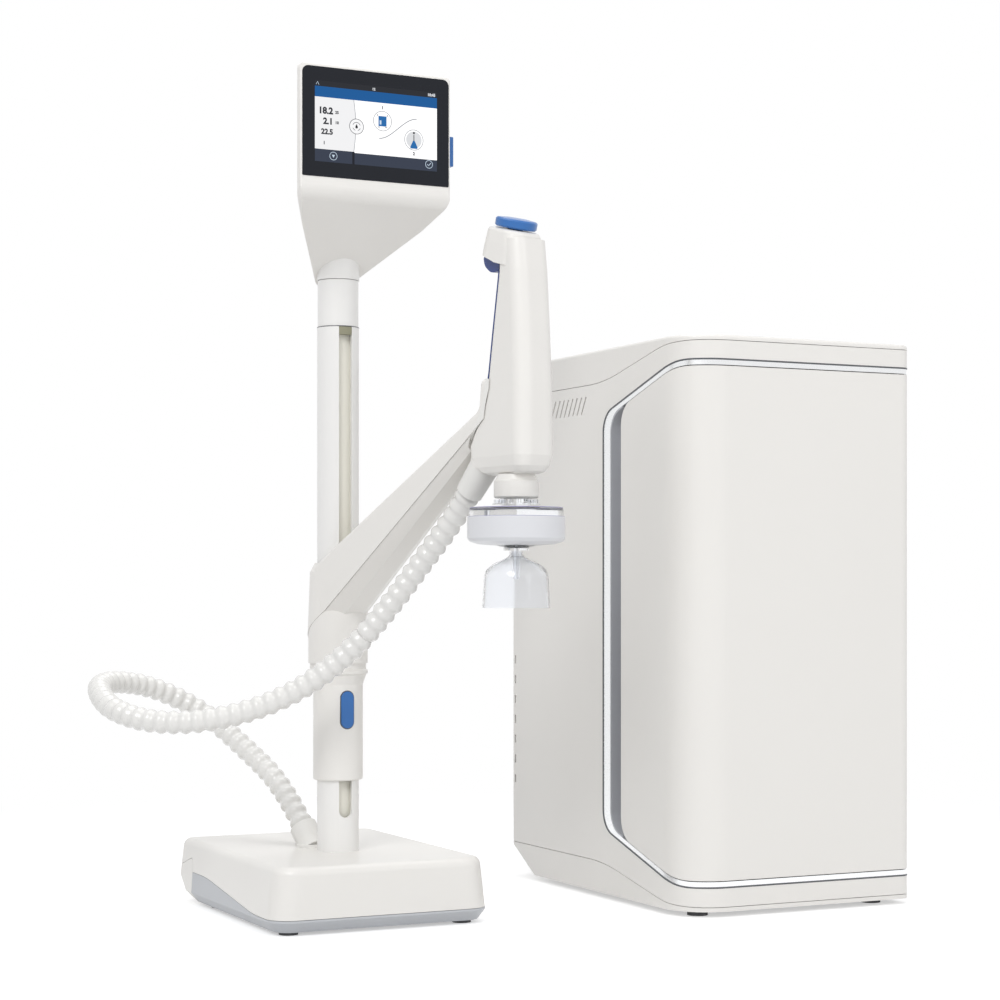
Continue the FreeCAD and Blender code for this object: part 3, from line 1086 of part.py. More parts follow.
disc = turned(0, 0, [(0, DISC_LIFT - DISC_T), (DISC_R - DISC_EDGE, DISC_LIFT - DISC_T),
                     (DISC_R, DISC_LIFT - DISC_T + DISC_EDGE), (DISC_R, DISC_LIFT - DISC_RISE),
                     (DISC_R - DISC_EDGE, DISC_LIFT - DISC_RISE + DISC_EDGE), (DISC_R / 2, DISC_LIFT), (0, DISC_LIFT)])
disc = disc.fuse(rod(0, 0, -PLUNGER_LOW, DISC_LIFT - DISC_T, PLUNGER_R))
keep("dispense_disc", at_arm(tilt_cap(disc)))
# Outlet under the handset, with the valve above it
valve = rod(0, -ARM_REACH, GRIP_BASE[0][0], GRIP_BASE[0][0] + VALVE_LEN, VALVE_R - RUNNING_GAP)
keep("dispensing_valve", at_arm(valve))
neck_low = turned(0, -ARM_REACH, [(0, OUTLET_TOP), (OUTLET_NECK_R, OUTLET_TOP), (OUTLET_NECK_R - 2, GRIP_BASE[0][0]),
                                  (0, GRIP_BASE[0][0])])
neck_low = neck_low.cut(along_cuff(-OVERRUN, CUFF_LEN + OVERRUN, CUFF_R + PART_LINE))
keep("outlet_neck", at_arm(neck_low))
RING_EDGE = 1.0
COUPLING_TOP = OUTLET_TOP - 4.0
outlet = turned(0, -ARM_REACH, [(0, OUTLET_TOP), (OUTLET_R - RING_EDGE, OUTLET_TOP), (OUTLET_R, OUTLET_TOP - RING_EDGE),
                                (OUTLET_R, OUTLET_LOW + RING_EDGE), (OUTLET_R - RING_EDGE, OUTLET_LOW), (0, OUTLET_LOW)])
outlet = outlet.cut(rod(0, -ARM_REACH, OUTLET_LOW - OVERRUN, COUPLING_TOP, COUPLING_R + RUNNING_GAP))
keep("outlet_ring", at_arm(outlet))

# Final filter: clear cap, pale band round a membrane stack, outlet with a nozzle, and a clear bell
FILT_FLANGE_R = 18.6
FILT_FLANGE_Z = 346.2
FILT_FLANGE_T = 1.0
FILT_RIM_R = 36.8
FILT_RIM_TOP = 343.8
FILT_RIM_LOW = 336.8
FILT_BAND_LOW = 317.6
FILT_BAND_WALL = 2.2
FILT_RIB_R = 13.0
BAND_FLOOR_Z = 314.6
BAND_FLOOR_R = 30.0
STACK_R = 33.0
NOZZLE_R = 2.75
NOZZLE_LOW = 288.5
SPIGOT_OUT_R = 3.9
SPIGOT_OUT_LOW = 303.0
FLANGE_OUT_R = 10.0
FLANGE_OUT_LOW = 310.6
FLANGE_OUT_T = 2.0
CONE_R = 16.0
STACK_GAP = 0.3
fx, fy = 0, -ARM_REACH
COUPLING_END = COUPLING_TOP - STACK_GAP
cap_top = turned(fx, fy, [(0, FILT_RIM_LOW), (FILT_RIM_R, FILT_RIM_LOW), (FILT_RIM_R, FILT_RIM_TOP - 1),
                          (FILT_RIM_R - 1, FILT_RIM_TOP), (FILT_RIB_R, FILT_RIM_TOP), (FILT_RIB_R - 2, FILT_RIM_TOP + 1),
                          (FILT_RIB_R - 2, FILT_FLANGE_Z), (FILT_FLANGE_R, FILT_FLANGE_Z),
                          (FILT_FLANGE_R, FILT_FLANGE_Z + FILT_FLANGE_T), (COUPLING_R - 1, FILT_FLANGE_Z + FILT_FLANGE_T),
                          (COUPLING_R - 1, OUTLET_LOW), (COUPLING_R, OUTLET_LOW), (COUPLING_R, COUPLING_END),
                          (0, COUPLING_END)])
LUG_COUNT = 12
LUG_W = 1.6
for i in range(LUG_COUNT):
    lug = box(COUPLING_R - 2, FILT_FLANGE_R - RING_EDGE, -LUG_W / 2, LUG_W / 2,
              FILT_FLANGE_Z + FILT_FLANGE_T, OUTLET_LOW - RING_EDGE)
    lug.rotate(v(0, 0, 0), v(0, 0, 1), i * 360 / LUG_COUNT)
    cap_top = cap_top.fuse(lug.translated(v(fx, fy, 0)))
keep("filter_cap", at_arm(cap_top))
band = turned(fx, fy, [(CONE_R, BAND_FLOOR_Z), (BAND_FLOOR_R, BAND_FLOOR_Z + 1), (FILTER_R - 2, FILT_BAND_LOW),
                       (FILTER_R, FILT_BAND_LOW + 2.5), (FILTER_R, FILT_RIM_LOW), (FILTER_R - FILT_BAND_WALL, FILT_RIM_LOW),
                       (FILTER_R - FILT_BAND_WALL, FILT_BAND_LOW + 3), (FILTER_R - 5, FILT_BAND_LOW + 1.6),
                       (CONE_R, FILT_BAND_LOW)])
keep("filter_band", at_arm(band))
stack_low = FILT_BAND_LOW + 3.0
keep("membrane_stack", at_arm(ring(fx, fy, stack_low, FILT_RIM_LOW, CONE_R, STACK_R)))
filt_out = turned(fx, fy, [(NOZZLE_R - 1, NOZZLE_LOW), (NOZZLE_R, NOZZLE_LOW), (NOZZLE_R, SPIGOT_OUT_LOW),
                           (SPIGOT_OUT_R, SPIGOT_OUT_LOW), (SPIGOT_OUT_R, FLANGE_OUT_LOW),
                           (FLANGE_OUT_R, FLANGE_OUT_LOW), (FLANGE_OUT_R, FLANGE_OUT_LOW + FLANGE_OUT_T),
                           (CONE_R / 2, FLANGE_OUT_LOW + FLANGE_OUT_T), (CONE_R, BAND_FLOOR_Z), (CONE_R, FILT_RIM_LOW),
                           (NOZZLE_R - 1, FILT_RIM_LOW)])
keep("filter_outlet", at_arm(filt_out))
BELL_WALL = 1.3
BELL_TOP = 310.0
BELL_NECK_R = 5.2
BELL_NECK_LOW = 306.6
BELL_SHOULDER = [(20.4, 299.4), (23.2, 297.4), (24.8, 294.4), (25.3, 291.0)]
BELL_LOW_R = 26.6
BELL_LOW = 265.9
bell_out = [(BELL_NECK_R, BELL_TOP), (BELL_NECK_R, BELL_NECK_LOW + 2), (BELL_NECK_R + 3, BELL_NECK_LOW - 1)]
bell_out += BELL_SHOULDER + [(BELL_LOW_R, BELL_LOW)]
bell_in = [(BELL_LOW_R - BELL_WALL, BELL_LOW)]
bell_in += [(r - BELL_WALL, z - BELL_WALL / 2) for r, z in reversed(BELL_SHOULDER)]
bell_in += [(BELL_NECK_R + 2, BELL_NECK_LOW - 1 - BELL_WALL),
            (SPIGOT_OUT_R + RUNNING_GAP, BELL_NECK_LOW - 1), (SPIGOT_OUT_R + RUNNING_GAP, BELL_TOP)]
keep("splash_bell", at_arm(turned(fx, fy, bell_out + bell_in)))

# Hose: gland on the base, then a route of points from the column axis, height above the bench
GLAND_R = 12.0
GLAND_FLANGE_R = 15.0
GLAND_FLANGE_T = 2.5
GLAND_RISE = 4.0
RIB_PITCH = 10.4
RIB_DEPTH = 2.0
RIB_HALF = 4.3
RIB_CREST = 2.1
BORE_R = 5.5
PLAIN_END = 20.0
exit_u = ARM_REACH - CUFF_END[0]
run = 30.0


def from_axis(u, z):
    return v(u * math.sin(ARM_RAD), -u * math.cos(ARM_RAD), z)


HOSE_START = from_axis(exit_u, CUFF_END[1])
HOSE_NEXT = from_axis(exit_u - run * CUFF_AXIS[0], CUFF_END[1] - run * CUFF_AXIS[1])
GLAND_TOP = v(-13.0, 50.0, 72.0)
HOSE_ROUTE = [HOSE_START, HOSE_NEXT, v(24, -129, 305), v(3, -106, 266), v(-20, -79, 229), v(-52, -56, 199),
              v(-90, -38, 180), v(-132, -19, 170), v(-167, 7, 170), v(-187, 44, 179), v(-188, 77, 190),
              v(-179, 112, 197), v(-155, 140, 199), v(-114, 159, 192), v(-69, 155, 169), v(-41, 123, 137),
              v(-21, 79, 106), GLAND_TOP]
centre = HOSE_ROUTE[:]
edges, radii, spans = [], [], []
last = centre[0]
for i in range(1, len(centre) - 1):
    a, b, c = centre[i - 1], centre[i], centre[i + 1]
    into, out = a - b, c - b
    shorter = min(into.Length, out.Length)
    into.normalize()
    out.normalize()
    half_turn = (math.pi - into.getAngle(out)) / 2
    reach = 0.45 * shorter
    radius = reach / math.tan(half_turn)
    first, end = b + into * reach, b + out * reach
    mid_dir = into + out
    mid_dir.normalize()
    mid = b + mid_dir * (radius / math.cos(half_turn) - radius)
    edges.append(Part.LineSegment(last, first).toShape())
    edges.append(Part.Arc(first, mid, end).toShape())
    radii.append(radius)
    spans.append((a - b).Length)
    last = end
edges.append(Part.LineSegment(last, centre[-1]).toShape())
spans.append((centre[-1] - centre[-2]).Length)
path = Part.Wire(edges)
print("hose length %.1f" % path.Length)
print("hose radii", [round(r, 1) for r in radii])
print("hose runs", [round(s, 1) for s in spans])


def across(r):
    """A circle at the hose's start, square to it."""
    return Part.Wire(Part.Circle(HOSE_START, centre[1] - centre[0], r).toShape())


core_r = HOSE_R - RIB_DEPTH
core = path.makePipeShell([across(core_r)], True, False)
print("hose core volume %.2f, section times length %.2f"
      % (core.Volume / 1000, math.pi * core_r ** 2 * path.Length / 1000))


def station(along):
    """The point and the direction of the hose's line at a length from its start."""
    for edge in path.Edges:
        if along <= edge.Length:
            t = edge.getParameterByLength(along)
            direction = edge.tangentAt(t)
            return edge.valueAt(t), direction
        along -= edge.Length
    return centre[-1], centre[-1] - centre[-2]


rib_count = int((path.Length - PLAIN_END - PLAIN_END) / RIB_PITCH)
first_rib = (path.Length - (rib_count - 1) * RIB_PITCH) / 2
x_axis = v(math.cos(ARM_RAD), math.sin(ARM_RAD), 0)
ribs = []
for i in range(rib_count):
    wires = []
    for off, r in ((-RIB_HALF, core_r - 0.1), (-RIB_CREST, HOSE_R), (RIB_CREST, HOSE_R), (RIB_HALF, core_r - 0.1)):
        point, along = station(first_rib + i * RIB_PITCH + off)
        x_axis = x_axis - along * x_axis.dot(along)
        x_axis.normalize()
        circle = Part.makeCircle(r)
        circle.Placement = FreeCAD.Placement(point, FreeCAD.Rotation(x_axis, along.cross(x_axis), along, "ZXY"))
        wires.append(Part.Wire(circle))
    ribs.append(Part.makeLoft(wires, True, True))
print("hose ribs", rib_count)
hose = core.fuse(ribs)
hose = hose.cut(path.makePipeShell([across(BORE_R)], True, False))
keep("dispense_hose", at_column(hose))
gland_dir = centre[-2] - centre[-1]
gland_dir.normalize()
drop = (GLAND_TOP.z - BASE_TOP + OVERRUN) / gland_dir.z
gland = Part.makeCylinder(GLAND_R, drop, GLAND_TOP - gland_dir * drop, gland_dir)
foot = GLAND_TOP - gland_dir * ((GLAND_TOP.z - BASE_TOP) / gland_dir.z)
gland = gland.fuse(rod(foot.x, foot.y, BASE_TOP, BASE_TOP + GLAND_FLANGE_T, GLAND_FLANGE_R))
gland = gland.cut(box(-GLAND_FLANGE_R * 4, GLAND_FLANGE_R * 4, 0, GLAND_FLANGE_R * 8, 0, BASE_TOP))
keep("hose_gland", at_column(gland))
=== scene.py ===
"""Ultrapure water system: a water cabinet and its dispensing stand with handset, filter and ribbed hose."""
import json
import math

import bmesh
import bpy
from mathutils import Matrix, Vector


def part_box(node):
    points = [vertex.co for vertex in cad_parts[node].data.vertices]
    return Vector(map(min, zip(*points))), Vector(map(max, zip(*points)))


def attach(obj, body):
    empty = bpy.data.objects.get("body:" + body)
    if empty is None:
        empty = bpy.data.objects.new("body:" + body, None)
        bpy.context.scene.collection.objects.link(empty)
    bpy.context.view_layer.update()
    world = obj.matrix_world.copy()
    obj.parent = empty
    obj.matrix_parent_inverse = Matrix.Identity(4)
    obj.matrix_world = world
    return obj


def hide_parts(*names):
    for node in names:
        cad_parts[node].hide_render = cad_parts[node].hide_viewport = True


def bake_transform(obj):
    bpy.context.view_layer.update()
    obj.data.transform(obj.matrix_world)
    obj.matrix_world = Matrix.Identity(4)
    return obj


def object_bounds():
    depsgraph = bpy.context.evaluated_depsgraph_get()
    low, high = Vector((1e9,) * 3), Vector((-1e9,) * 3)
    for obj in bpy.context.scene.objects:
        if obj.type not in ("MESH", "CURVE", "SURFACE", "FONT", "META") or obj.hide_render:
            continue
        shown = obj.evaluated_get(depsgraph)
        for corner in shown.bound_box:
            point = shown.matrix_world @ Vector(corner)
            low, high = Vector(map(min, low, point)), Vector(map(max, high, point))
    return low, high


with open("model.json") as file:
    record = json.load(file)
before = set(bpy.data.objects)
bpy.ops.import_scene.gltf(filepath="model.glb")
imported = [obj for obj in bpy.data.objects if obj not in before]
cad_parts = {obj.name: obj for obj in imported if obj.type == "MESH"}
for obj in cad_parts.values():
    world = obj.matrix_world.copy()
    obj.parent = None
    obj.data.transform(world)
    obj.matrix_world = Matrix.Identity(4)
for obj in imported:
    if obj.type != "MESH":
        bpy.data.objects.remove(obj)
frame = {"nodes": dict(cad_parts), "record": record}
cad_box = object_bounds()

# Camera and studio. A level camera about 1.9 m off, raised by its shift alone, so that upright edges
# stay upright; a pale floor under a big soft lamp on the left, one in front, one above and a soft sky.
scene = bpy.context.scene
scene.view_settings.view_transform = "Standard"
CAMERA_AT = (-0.9038, -1.7417, 0.2826)
CAMERA_YAW = math.radians(-25.88)
CAMERA_LENS = 79.96
CAMERA_SHIFT_Y = 0.0866

camera_data = bpy.data.cameras.new("camera")
camera_data.lens = CAMERA_LENS
camera_data.sensor_width = 36.0
camera_data.shift_y = CAMERA_SHIFT_Y
camera = bpy.data.objects.new("camera", camera_data)
camera.location = CAMERA_AT
camera.rotation_euler = (math.radians(90), 0, CAMERA_YAW)
scene.collection.objects.link(camera)
scene.camera = camera

LAMPS = {
    "key_lamp": ((-2.3, -2.2, 2.6), 1.9, 55.0),
    "front_lamp": ((1.1, -3.2, 1.5), 1.8, 20.0),
    "top_lamp": ((0.2, 0.3, 2.9), 2.2, 23.0),
}
LIT_POINT = Vector((0, 0, 0.3))
for name, (place, width, watts) in LAMPS.items():
    lamp_data = bpy.data.lights.new(name, "AREA")
    lamp_data.shape = "DISK"
    lamp_data.size = width
    lamp_data.energy = watts
    lamp = bpy.data.objects.new(name, lamp_data)
    lamp.location = place
    aim = LIT_POINT - Vector(place)
    lamp.rotation_euler = aim.to_track_quat("-Z", "Y").to_euler()
    lamp.visible_glossy = name != "front_lamp"
    scene.collection.objects.link(lamp)


def white_to_the_eye(tree, lit, white):
    """Mixes white in for camera, mirror and glass rays, and gives the lit shader to all the others."""
    rays = tree.nodes.new("ShaderNodeLightPath")
    first = tree.nodes.new("ShaderNodeMath")
    first.operation = "MAXIMUM"
    tree.links.new(rays.outputs["Is Camera Ray"], first.inputs[0])
    tree.links.new(rays.outputs["Is Glossy Ray"], first.inputs[1])
    both = tree.nodes.new("ShaderNodeMath")
    both.operation = "MAXIMUM"
    tree.links.new(first.outputs[0], both.inputs[0])
    tree.links.new(rays.outputs["Is Transmission Ray"], both.inputs[1])
    mix = tree.nodes.new("ShaderNodeMixShader")
    tree.links.new(both.outputs[0], mix.inputs[0])
    tree.links.new(lit.outputs[0], mix.inputs[1])
    tree.links.new(white.outputs[0], mix.inputs[2])
    return mix


SKY_STRENGTH = 0.53
world = bpy.data.worlds.new("studio")
scene.world = world
world.use_nodes = True
sky = world.node_tree
sky.nodes.clear()
soft_light = sky.nodes.new("ShaderNodeBackground")
soft_light.inputs["Color"].default_value = (0.97, 0.98, 1.0, 1)
soft_light.inputs["Strength"].default_value = SKY_STRENGTH
bright = sky.nodes.new("ShaderNodeBackground")
bright.inputs["Color"].default_value = (1, 1, 1, 1)
world_out = sky.nodes.new("ShaderNodeOutputWorld")
sky.links.new(white_to_the_eye(sky, soft_light, bright).outputs[0], world_out.inputs[0])

FLOOR_HALF = 6.0
FLOOR_GREY = 0.8
FLOOR_LIFT = 0.46
FADE_FROM, FADE_TO = 0.45, 1.1
bm = bmesh.new()
bmesh.ops.create_grid(bm, x_segments=1, y_segments=1, size=FLOOR_HALF)
floor_mesh = bpy.data.meshes.new("floor")
bm.to_mesh(floor_mesh)
bm.free()
floor = bpy.data.objects.new("floor", floor_mesh)
scene.collection.objects.link(floor)
floor_mat = bpy.data.materials.new("floor_white")
floor_mat.use_nodes = True
tree = floor_mat.node_tree
tree.nodes.clear()
matt = tree.nodes.new("ShaderNodeBsdfDiffuse")
matt.inputs["Color"].default_value = (FLOOR_GREY, FLOOR_GREY, FLOOR_GREY, 1)
glow = tree.nodes.new("ShaderNodeEmission")
glow.inputs["Strength"].default_value = FLOOR_LIFT
lifted = tree.nodes.new("ShaderNodeAddShader")
tree.links.new(matt.outputs[0], lifted.inputs[0])
tree.links.new(glow.outputs[0], lifted.inputs[1])
place = tree.nodes.new("ShaderNodeTexCoord")
distance = tree.nodes.new("ShaderNodeVectorMath")
distance.operation = "LENGTH"
tree.links.new(place.outputs["Object"], distance.inputs[0])
fade = tree.nodes.new("ShaderNodeMapRange")
fade.interpolation_type = "SMOOTHSTEP"
fade.inputs["From Min"].default_value = FADE_FROM
fade.inputs["From Max"].default_value = FADE_TO
tree.links.new(distance.outputs["Value"], fade.inputs["Value"])
backdrop = tree.nodes.new("ShaderNodeEmission")
faded = tree.nodes.new("ShaderNodeMixShader")
tree.links.new(fade.outputs["Result"], faded.inputs[0])
tree.links.new(lifted.outputs[0], faded.inputs[1])
tree.links.new(backdrop.outputs[0], faded.inputs[2])
floor_out = tree.nodes.new("ShaderNodeOutputMaterial")
tree.links.new(white_to_the_eye(tree, matt, faded).outputs[0], floor_out.inputs[0])
floor_mesh.materials.append(floor_mat)

# Dispensing hose: a white ribbed tube, 20 mm across its ribs, from the gland on the stand's foot in one loose
# loop round the column to the handset. It is cut in three at grooves.
HOSE_ROUTE = [
    (-0.2080, 0.0885, 0.0720), (-0.2160, 0.1175, 0.1060), (-0.2360, 0.1615, 0.1370),
    (-0.2640, 0.1935, 0.1690), (-0.3090, 0.1975, 0.1920), (-0.3500, 0.1785, 0.1990),
    (-0.3740, 0.1505, 0.1970), (-0.3830, 0.1155, 0.1900), (-0.3820, 0.0825, 0.1790),
    (-0.3620, 0.0455, 0.1700), (-0.3270, 0.0195, 0.1700), (-0.2850, 0.0005, 0.1800),
    (-0.2470, -0.0175, 0.1990), (-0.2150, -0.0405, 0.2290), (-0.1920, -0.0675, 0.2660),
    (-0.1710, -0.0905, 0.3050), (-0.1566, -0.1156, 0.3363), (-0.1516, -0.1357, 0.3580)]
RIB_PITCH = 0.0104
RIB_TOP = 0.0100
RIB_GROOVE = 0.0080
HOSE_BORE = 0.0055
RINGS_PER_RIB = 8
AROUND = 32

line = bpy.data.curves.new("hose_line", "CURVE")
line.dimensions = "3D"
spline = line.splines.new("NURBS")
spline.points.add(len(HOSE_ROUTE) - 1)
for point, place in zip(spline.points, HOSE_ROUTE):
    point.co = (*place, 1)
spline.order_u = 3
spline.use_endpoint_u = True
spline.resolution_u = 24
line_object = bpy.data.objects.new("hose_line", line)
scene.collection.objects.link(line_object)
bpy.context.view_layer.update()
drawn = bpy.data.meshes.new_from_object(line_object)
hose_points = [v.co.copy() for v in drawn.vertices]
bpy.data.meshes.remove(drawn)
bpy.data.objects.remove(line_object)

steps = [(b - a).length for a, b in zip(hose_points, hose_points[1:])]
hose_length = sum(steps)
rib_count = round(hose_length / RIB_PITCH)
pitch = hose_length / rib_count


def along_hose(s):
    """The point at a length from the gland, and the direction there."""
    for a, b, step in zip(hose_points, hose_points[1:], steps):
        if s <= step or b is hose_points[-1]:
            return a.lerp(b, min(1, s / step)), (b - a).normalized()
        s -= step


def tube(bm, rings, segments):
    """A circle carried from ring to ring, each a matrix that gives its place, turn and radius."""
    made = bmesh.ops.create_circle(bm, segments=segments, radius=1, matrix=rings[0])["verts"]
    edges = list({e for v in made for e in v.link_edges})
    for before, after in zip(rings, rings[1:]):
        grown = bmesh.ops.extrude_edge_only(bm, edges=edges)["geom"]
        verts = {g for g in grown if isinstance(g, bmesh.types.BMVert)}
        edges = [g for g in grown if isinstance(g, bmesh.types.BMEdge) and verts.issuperset(g.verts)]
        bmesh.ops.transform(bm, matrix=after @ before.inverted(), verts=list(verts))


MERGE = 1e-6


def put(bm, name, material, smooth_below=35):
    """Ends a mesh and makes it an object: merged, faces outwards, smooth except over sharp edges."""
    bmesh.ops.remove_doubles(bm, verts=bm.verts, dist=MERGE)
    bmesh.ops.recalc_face_normals(bm, faces=bm.faces)
    limit = math.radians(smooth_below)
    for face in bm.faces:
        face.smooth = True
    for edge in bm.edges:
        edge.smooth = len(edge.link_faces) == 2 and edge.calc_face_angle(0) < limit
    mesh = bpy.data.meshes.new(name)
    bm.to_mesh(mesh)
    bm.free()
    mesh.materials.append(material)
    piece = bpy.data.objects.new(name, mesh)
    scene.collection.objects.link(piece)
    return piece


def moulded(name, colour, rough=0.36, mottle=0.03, grain=900, depth=0.12, spread=0.06, **sockets):
    """A moulded or painted finish: faint clouds in colour and roughness, and a fine raised grain."""
    material = bpy.data.materials.new(name)
    material.use_nodes = True
    tree = material.node_tree
    shader = tree.nodes["Principled BSDF"]
    for socket, value in sockets.items():
        shader.inputs[socket.replace("_", " ")].default_value = value
    place = tree.nodes.new("ShaderNodeTexCoord")
    clouds = tree.nodes.new("ShaderNodeTexNoise")
    clouds.inputs["Scale"].default_value = 14
    clouds.inputs["Detail"].default_value = 4
    tree.links.new(place.outputs["Object"], clouds.inputs["Vector"])
    tint = tree.nodes.new("ShaderNodeMix")
    tint.data_type = "RGBA"
    tint.inputs["A"].default_value = (*colour, 1)
    tint.inputs["B"].default_value = (*[c * (1 - mottle) for c in colour], 1)
    tree.links.new(clouds.outputs["Fac"], tint.inputs["Factor"])
    tree.links.new(tint.outputs["Result"], shader.inputs["Base Color"])
    fine = tree.nodes.new("ShaderNodeTexNoise")
    fine.inputs["Scale"].default_value = grain
    fine.inputs["Detail"].default_value = 3
    tree.links.new(place.outputs["Object"], fine.inputs["Vector"])
    wear = tree.nodes.new("ShaderNodeMapRange")
    wear.inputs["To Min"].default_value = rough - spread
    wear.inputs["To Max"].default_value = rough + spread
    tree.links.new(clouds.outputs["Fac"], wear.inputs["Value"])
    tree.links.new(wear.outputs["Result"], shader.inputs["Roughness"])
    bump = tree.nodes.new("ShaderNodeBump")
    bump.inputs["Strength"].default_value = depth
    bump.inputs["Distance"].default_value = 0.0002
    tree.links.new(fine.outputs["Fac"], bump.inputs["Height"])
    tree.links.new(bump.outputs["Normal"], shader.inputs["Normal"])
    return material


def hose_piece(name, first_rib, last_rib):
    """A ribbed tube with its bore, between two grooves: the wall rises and falls in a soft wave."""
    rings = []
    side = Vector((0, 0, 1))
    for i in range((last_rib - first_rib) * RINGS_PER_RIB + 1):
        at, ahead = along_hose((first_rib + i / RINGS_PER_RIB) * pitch)
        side = (side - ahead * side.dot(ahead)).normalized()
        turn = Matrix((side, ahead.cross(side), ahead)).transposed().to_4x4()
        u = 2 * (i % RINGS_PER_RIB) / RINGS_PER_RIB - 1
        swell = (0.5 + 0.5 * math.cos(math.pi * u)) ** 0.8
        rings.append((Matrix.Translation(at) @ turn, RIB_GROOVE + (RIB_TOP - RIB_GROOVE) * swell))
    walls = [frame_at @ Matrix.Scale(r, 4) for frame_at, r in rings]
    walls += [frame_at @ Matrix.Scale(HOSE_BORE, 4) for frame_at, _ in reversed(rings[::RINGS_PER_RIB])]
    bm = bmesh.new()
    tube(bm, walls + walls[:1], AROUND)
    piece = put(bm, name, hose_white, 80)
    return piece


hose_white = moulded("hose_white", (0.80, 0.79, 0.765), rough=0.22, mottle=0.02, depth=0.04, Coat_Weight=0.4)
LOOP_SHARE, RISE_SHARE = 0.42, 0.80
CUTS = [0, round(rib_count * LOOP_SHARE), round(rib_count * RISE_SHARE), rib_count]
HOSE_BENDS = [
    ("hose_loop", "cabinet_and_stand", "carriage"),
    ("hose_rise", "carriage", "arm"),
    ("hose_end", "arm", "handset")]
for (name, body, next_body), first_rib, last_rib in zip(HOSE_BENDS, CUTS, CUTS[1:]):
    piece = hose_piece(name, first_rib, last_rib)
    inside = [along_hose((first_rib + i / 2) * pitch)[0] for i in range((last_rib - first_rib) * 2 + 1)]
    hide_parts("dispense_hose")
    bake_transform(piece)

# Finishes: one node-built material for each kind of surface, given to the CAD pieces by name.
# Colours are linear; whites are a little warm, and the lower shell of the stand is a cool grey.
WHITE = (0.84, 0.82, 0.785)


def metal(name, colour, rough, stretch, depth=0.15):
    """Brushed or drawn metal: a noise drawn out along the grain marks its roughness and its surface."""
    material = bpy.data.materials.new(name)
    material.use_nodes = True
    tree = material.node_tree
    shader = tree.nodes["Principled BSDF"]
    shader.inputs["Base Color"].default_value = (*colour, 1)
    shader.inputs["Metallic"].default_value = 1.0
    place = tree.nodes.new("ShaderNodeTexCoord")
    drawn_out = tree.nodes.new("ShaderNodeMapping")
    drawn_out.inputs["Scale"].default_value = stretch
    tree.links.new(place.outputs["Object"], drawn_out.inputs["Vector"])
    grain = tree.nodes.new("ShaderNodeTexNoise")
    grain.inputs["Scale"].default_value = 60
    grain.inputs["Detail"].default_value = 5
    tree.links.new(drawn_out.outputs[0], grain.inputs["Vector"])
    wear = tree.nodes.new("ShaderNodeMapRange")
    wear.inputs["To Min"].default_value = rough - 0.08
    wear.inputs["To Max"].default_value = rough + 0.08
    tree.links.new(grain.outputs["Fac"], wear.inputs["Value"])
    tree.links.new(wear.outputs["Result"], shader.inputs["Roughness"])
    bump = tree.nodes.new("ShaderNodeBump")
    bump.inputs["Strength"].default_value = depth
    bump.inputs["Distance"].default_value = 0.0001
    tree.links.new(grain.outputs["Fac"], bump.inputs["Height"])
    tree.links.new(bump.outputs["Normal"], shader.inputs["Normal"])
    return material


FINISHES = {
    "white_plastic": moulded("white_plastic", WHITE, rough=0.34, mottle=0.02, depth=0.10, Coat_Weight=0.15),
    "grey_shell": moulded("grey_shell", (0.53, 0.545, 0.57), rough=0.40, mottle=0.03),
    "recess_grey": moulded("recess_grey", (0.50, 0.51, 0.54), rough=0.48, mottle=0.03),
    "bright_trim": metal("bright_trim", (0.86, 0.87, 0.88), 0.26, (1, 1, 12)),
    "rubber": moulded("rubber", (0.11, 0.11, 0.115), rough=0.62, mottle=0.15, grain=500, depth=0.3),
    "steel": metal("steel", (0.62, 0.62, 0.63), 0.28, (12, 1, 1)),
    "sheet_metal": metal("sheet_metal", (0.66, 0.67, 0.68), 0.38, (1, 1, 9)),
    "cartridge": moulded("cartridge", (0.62, 0.65, 0.70), rough=0.30, mottle=0.04),
    "dark_plastic": moulded("dark_plastic", (0.035, 0.037, 0.042), rough=0.42, mottle=0.10),
    "board_green": moulded("board_green", (0.02, 0.16, 0.07), rough=0.35, mottle=0.25, grain=300),
    "brass": metal("brass", (0.72, 0.52, 0.22), 0.30, (1, 8, 1)),
    "cast_iron": moulded("cast_iron", (0.06, 0.06, 0.065), rough=0.65, mottle=0.3, grain=260, depth=0.6),
    "column_white": moulded("column_white", (0.86, 0.85, 0.83), rough=0.30, mottle=0.02, Coat_Weight=0.2),
    "rail": moulded("rail", (0.90, 0.88, 0.79), rough=0.45, mottle=0.05),
    "slot_block": moulded("slot_block", (0.30, 0.29, 0.20), rough=0.5, mottle=0.08),
    "black_glass": moulded("black_glass", (0.012, 0.014, 0.020), rough=0.10, mottle=0.2, depth=0.0, spread=0.02,
                           Specular_IOR_Level=0.2),
    "display": moulded("display", (0.05, 0.05, 0.06), rough=0.2, mottle=0.1),
    "blue": moulded("blue", (0.022, 0.150, 0.46), rough=0.30, mottle=0.08, Coat_Weight=0.25),
    "navy": moulded("navy", (0.018, 0.045, 0.20), rough=0.30, mottle=0.10, Coat_Weight=0.3),
    "soft_white": moulded("soft_white", (0.84, 0.83, 0.80), rough=0.45, mottle=0.02),
    "clear": moulded("clear", (0.97, 0.98, 1.0), rough=0.06, mottle=0.01, depth=0.01, spread=0.02,
                     Transmission_Weight=0.93, IOR=1.38),
    "milky": moulded("milky", (0.74, 0.745, 0.77), rough=0.30, mottle=0.02, Subsurface_Weight=0.2,
                     Subsurface_Radius=(0.004, 0.004, 0.004)),
    "aluminium": metal("aluminium", (0.78, 0.79, 0.80), 0.32, (1, 1, 12)),
}
FINISHES["hose_white"] = hose_white
for part in frame["record"]["subparts"]:
    for held in frame["nodes"][part["node"]].material_slots:
        held.material = FINISHES[part["material_slot"]]
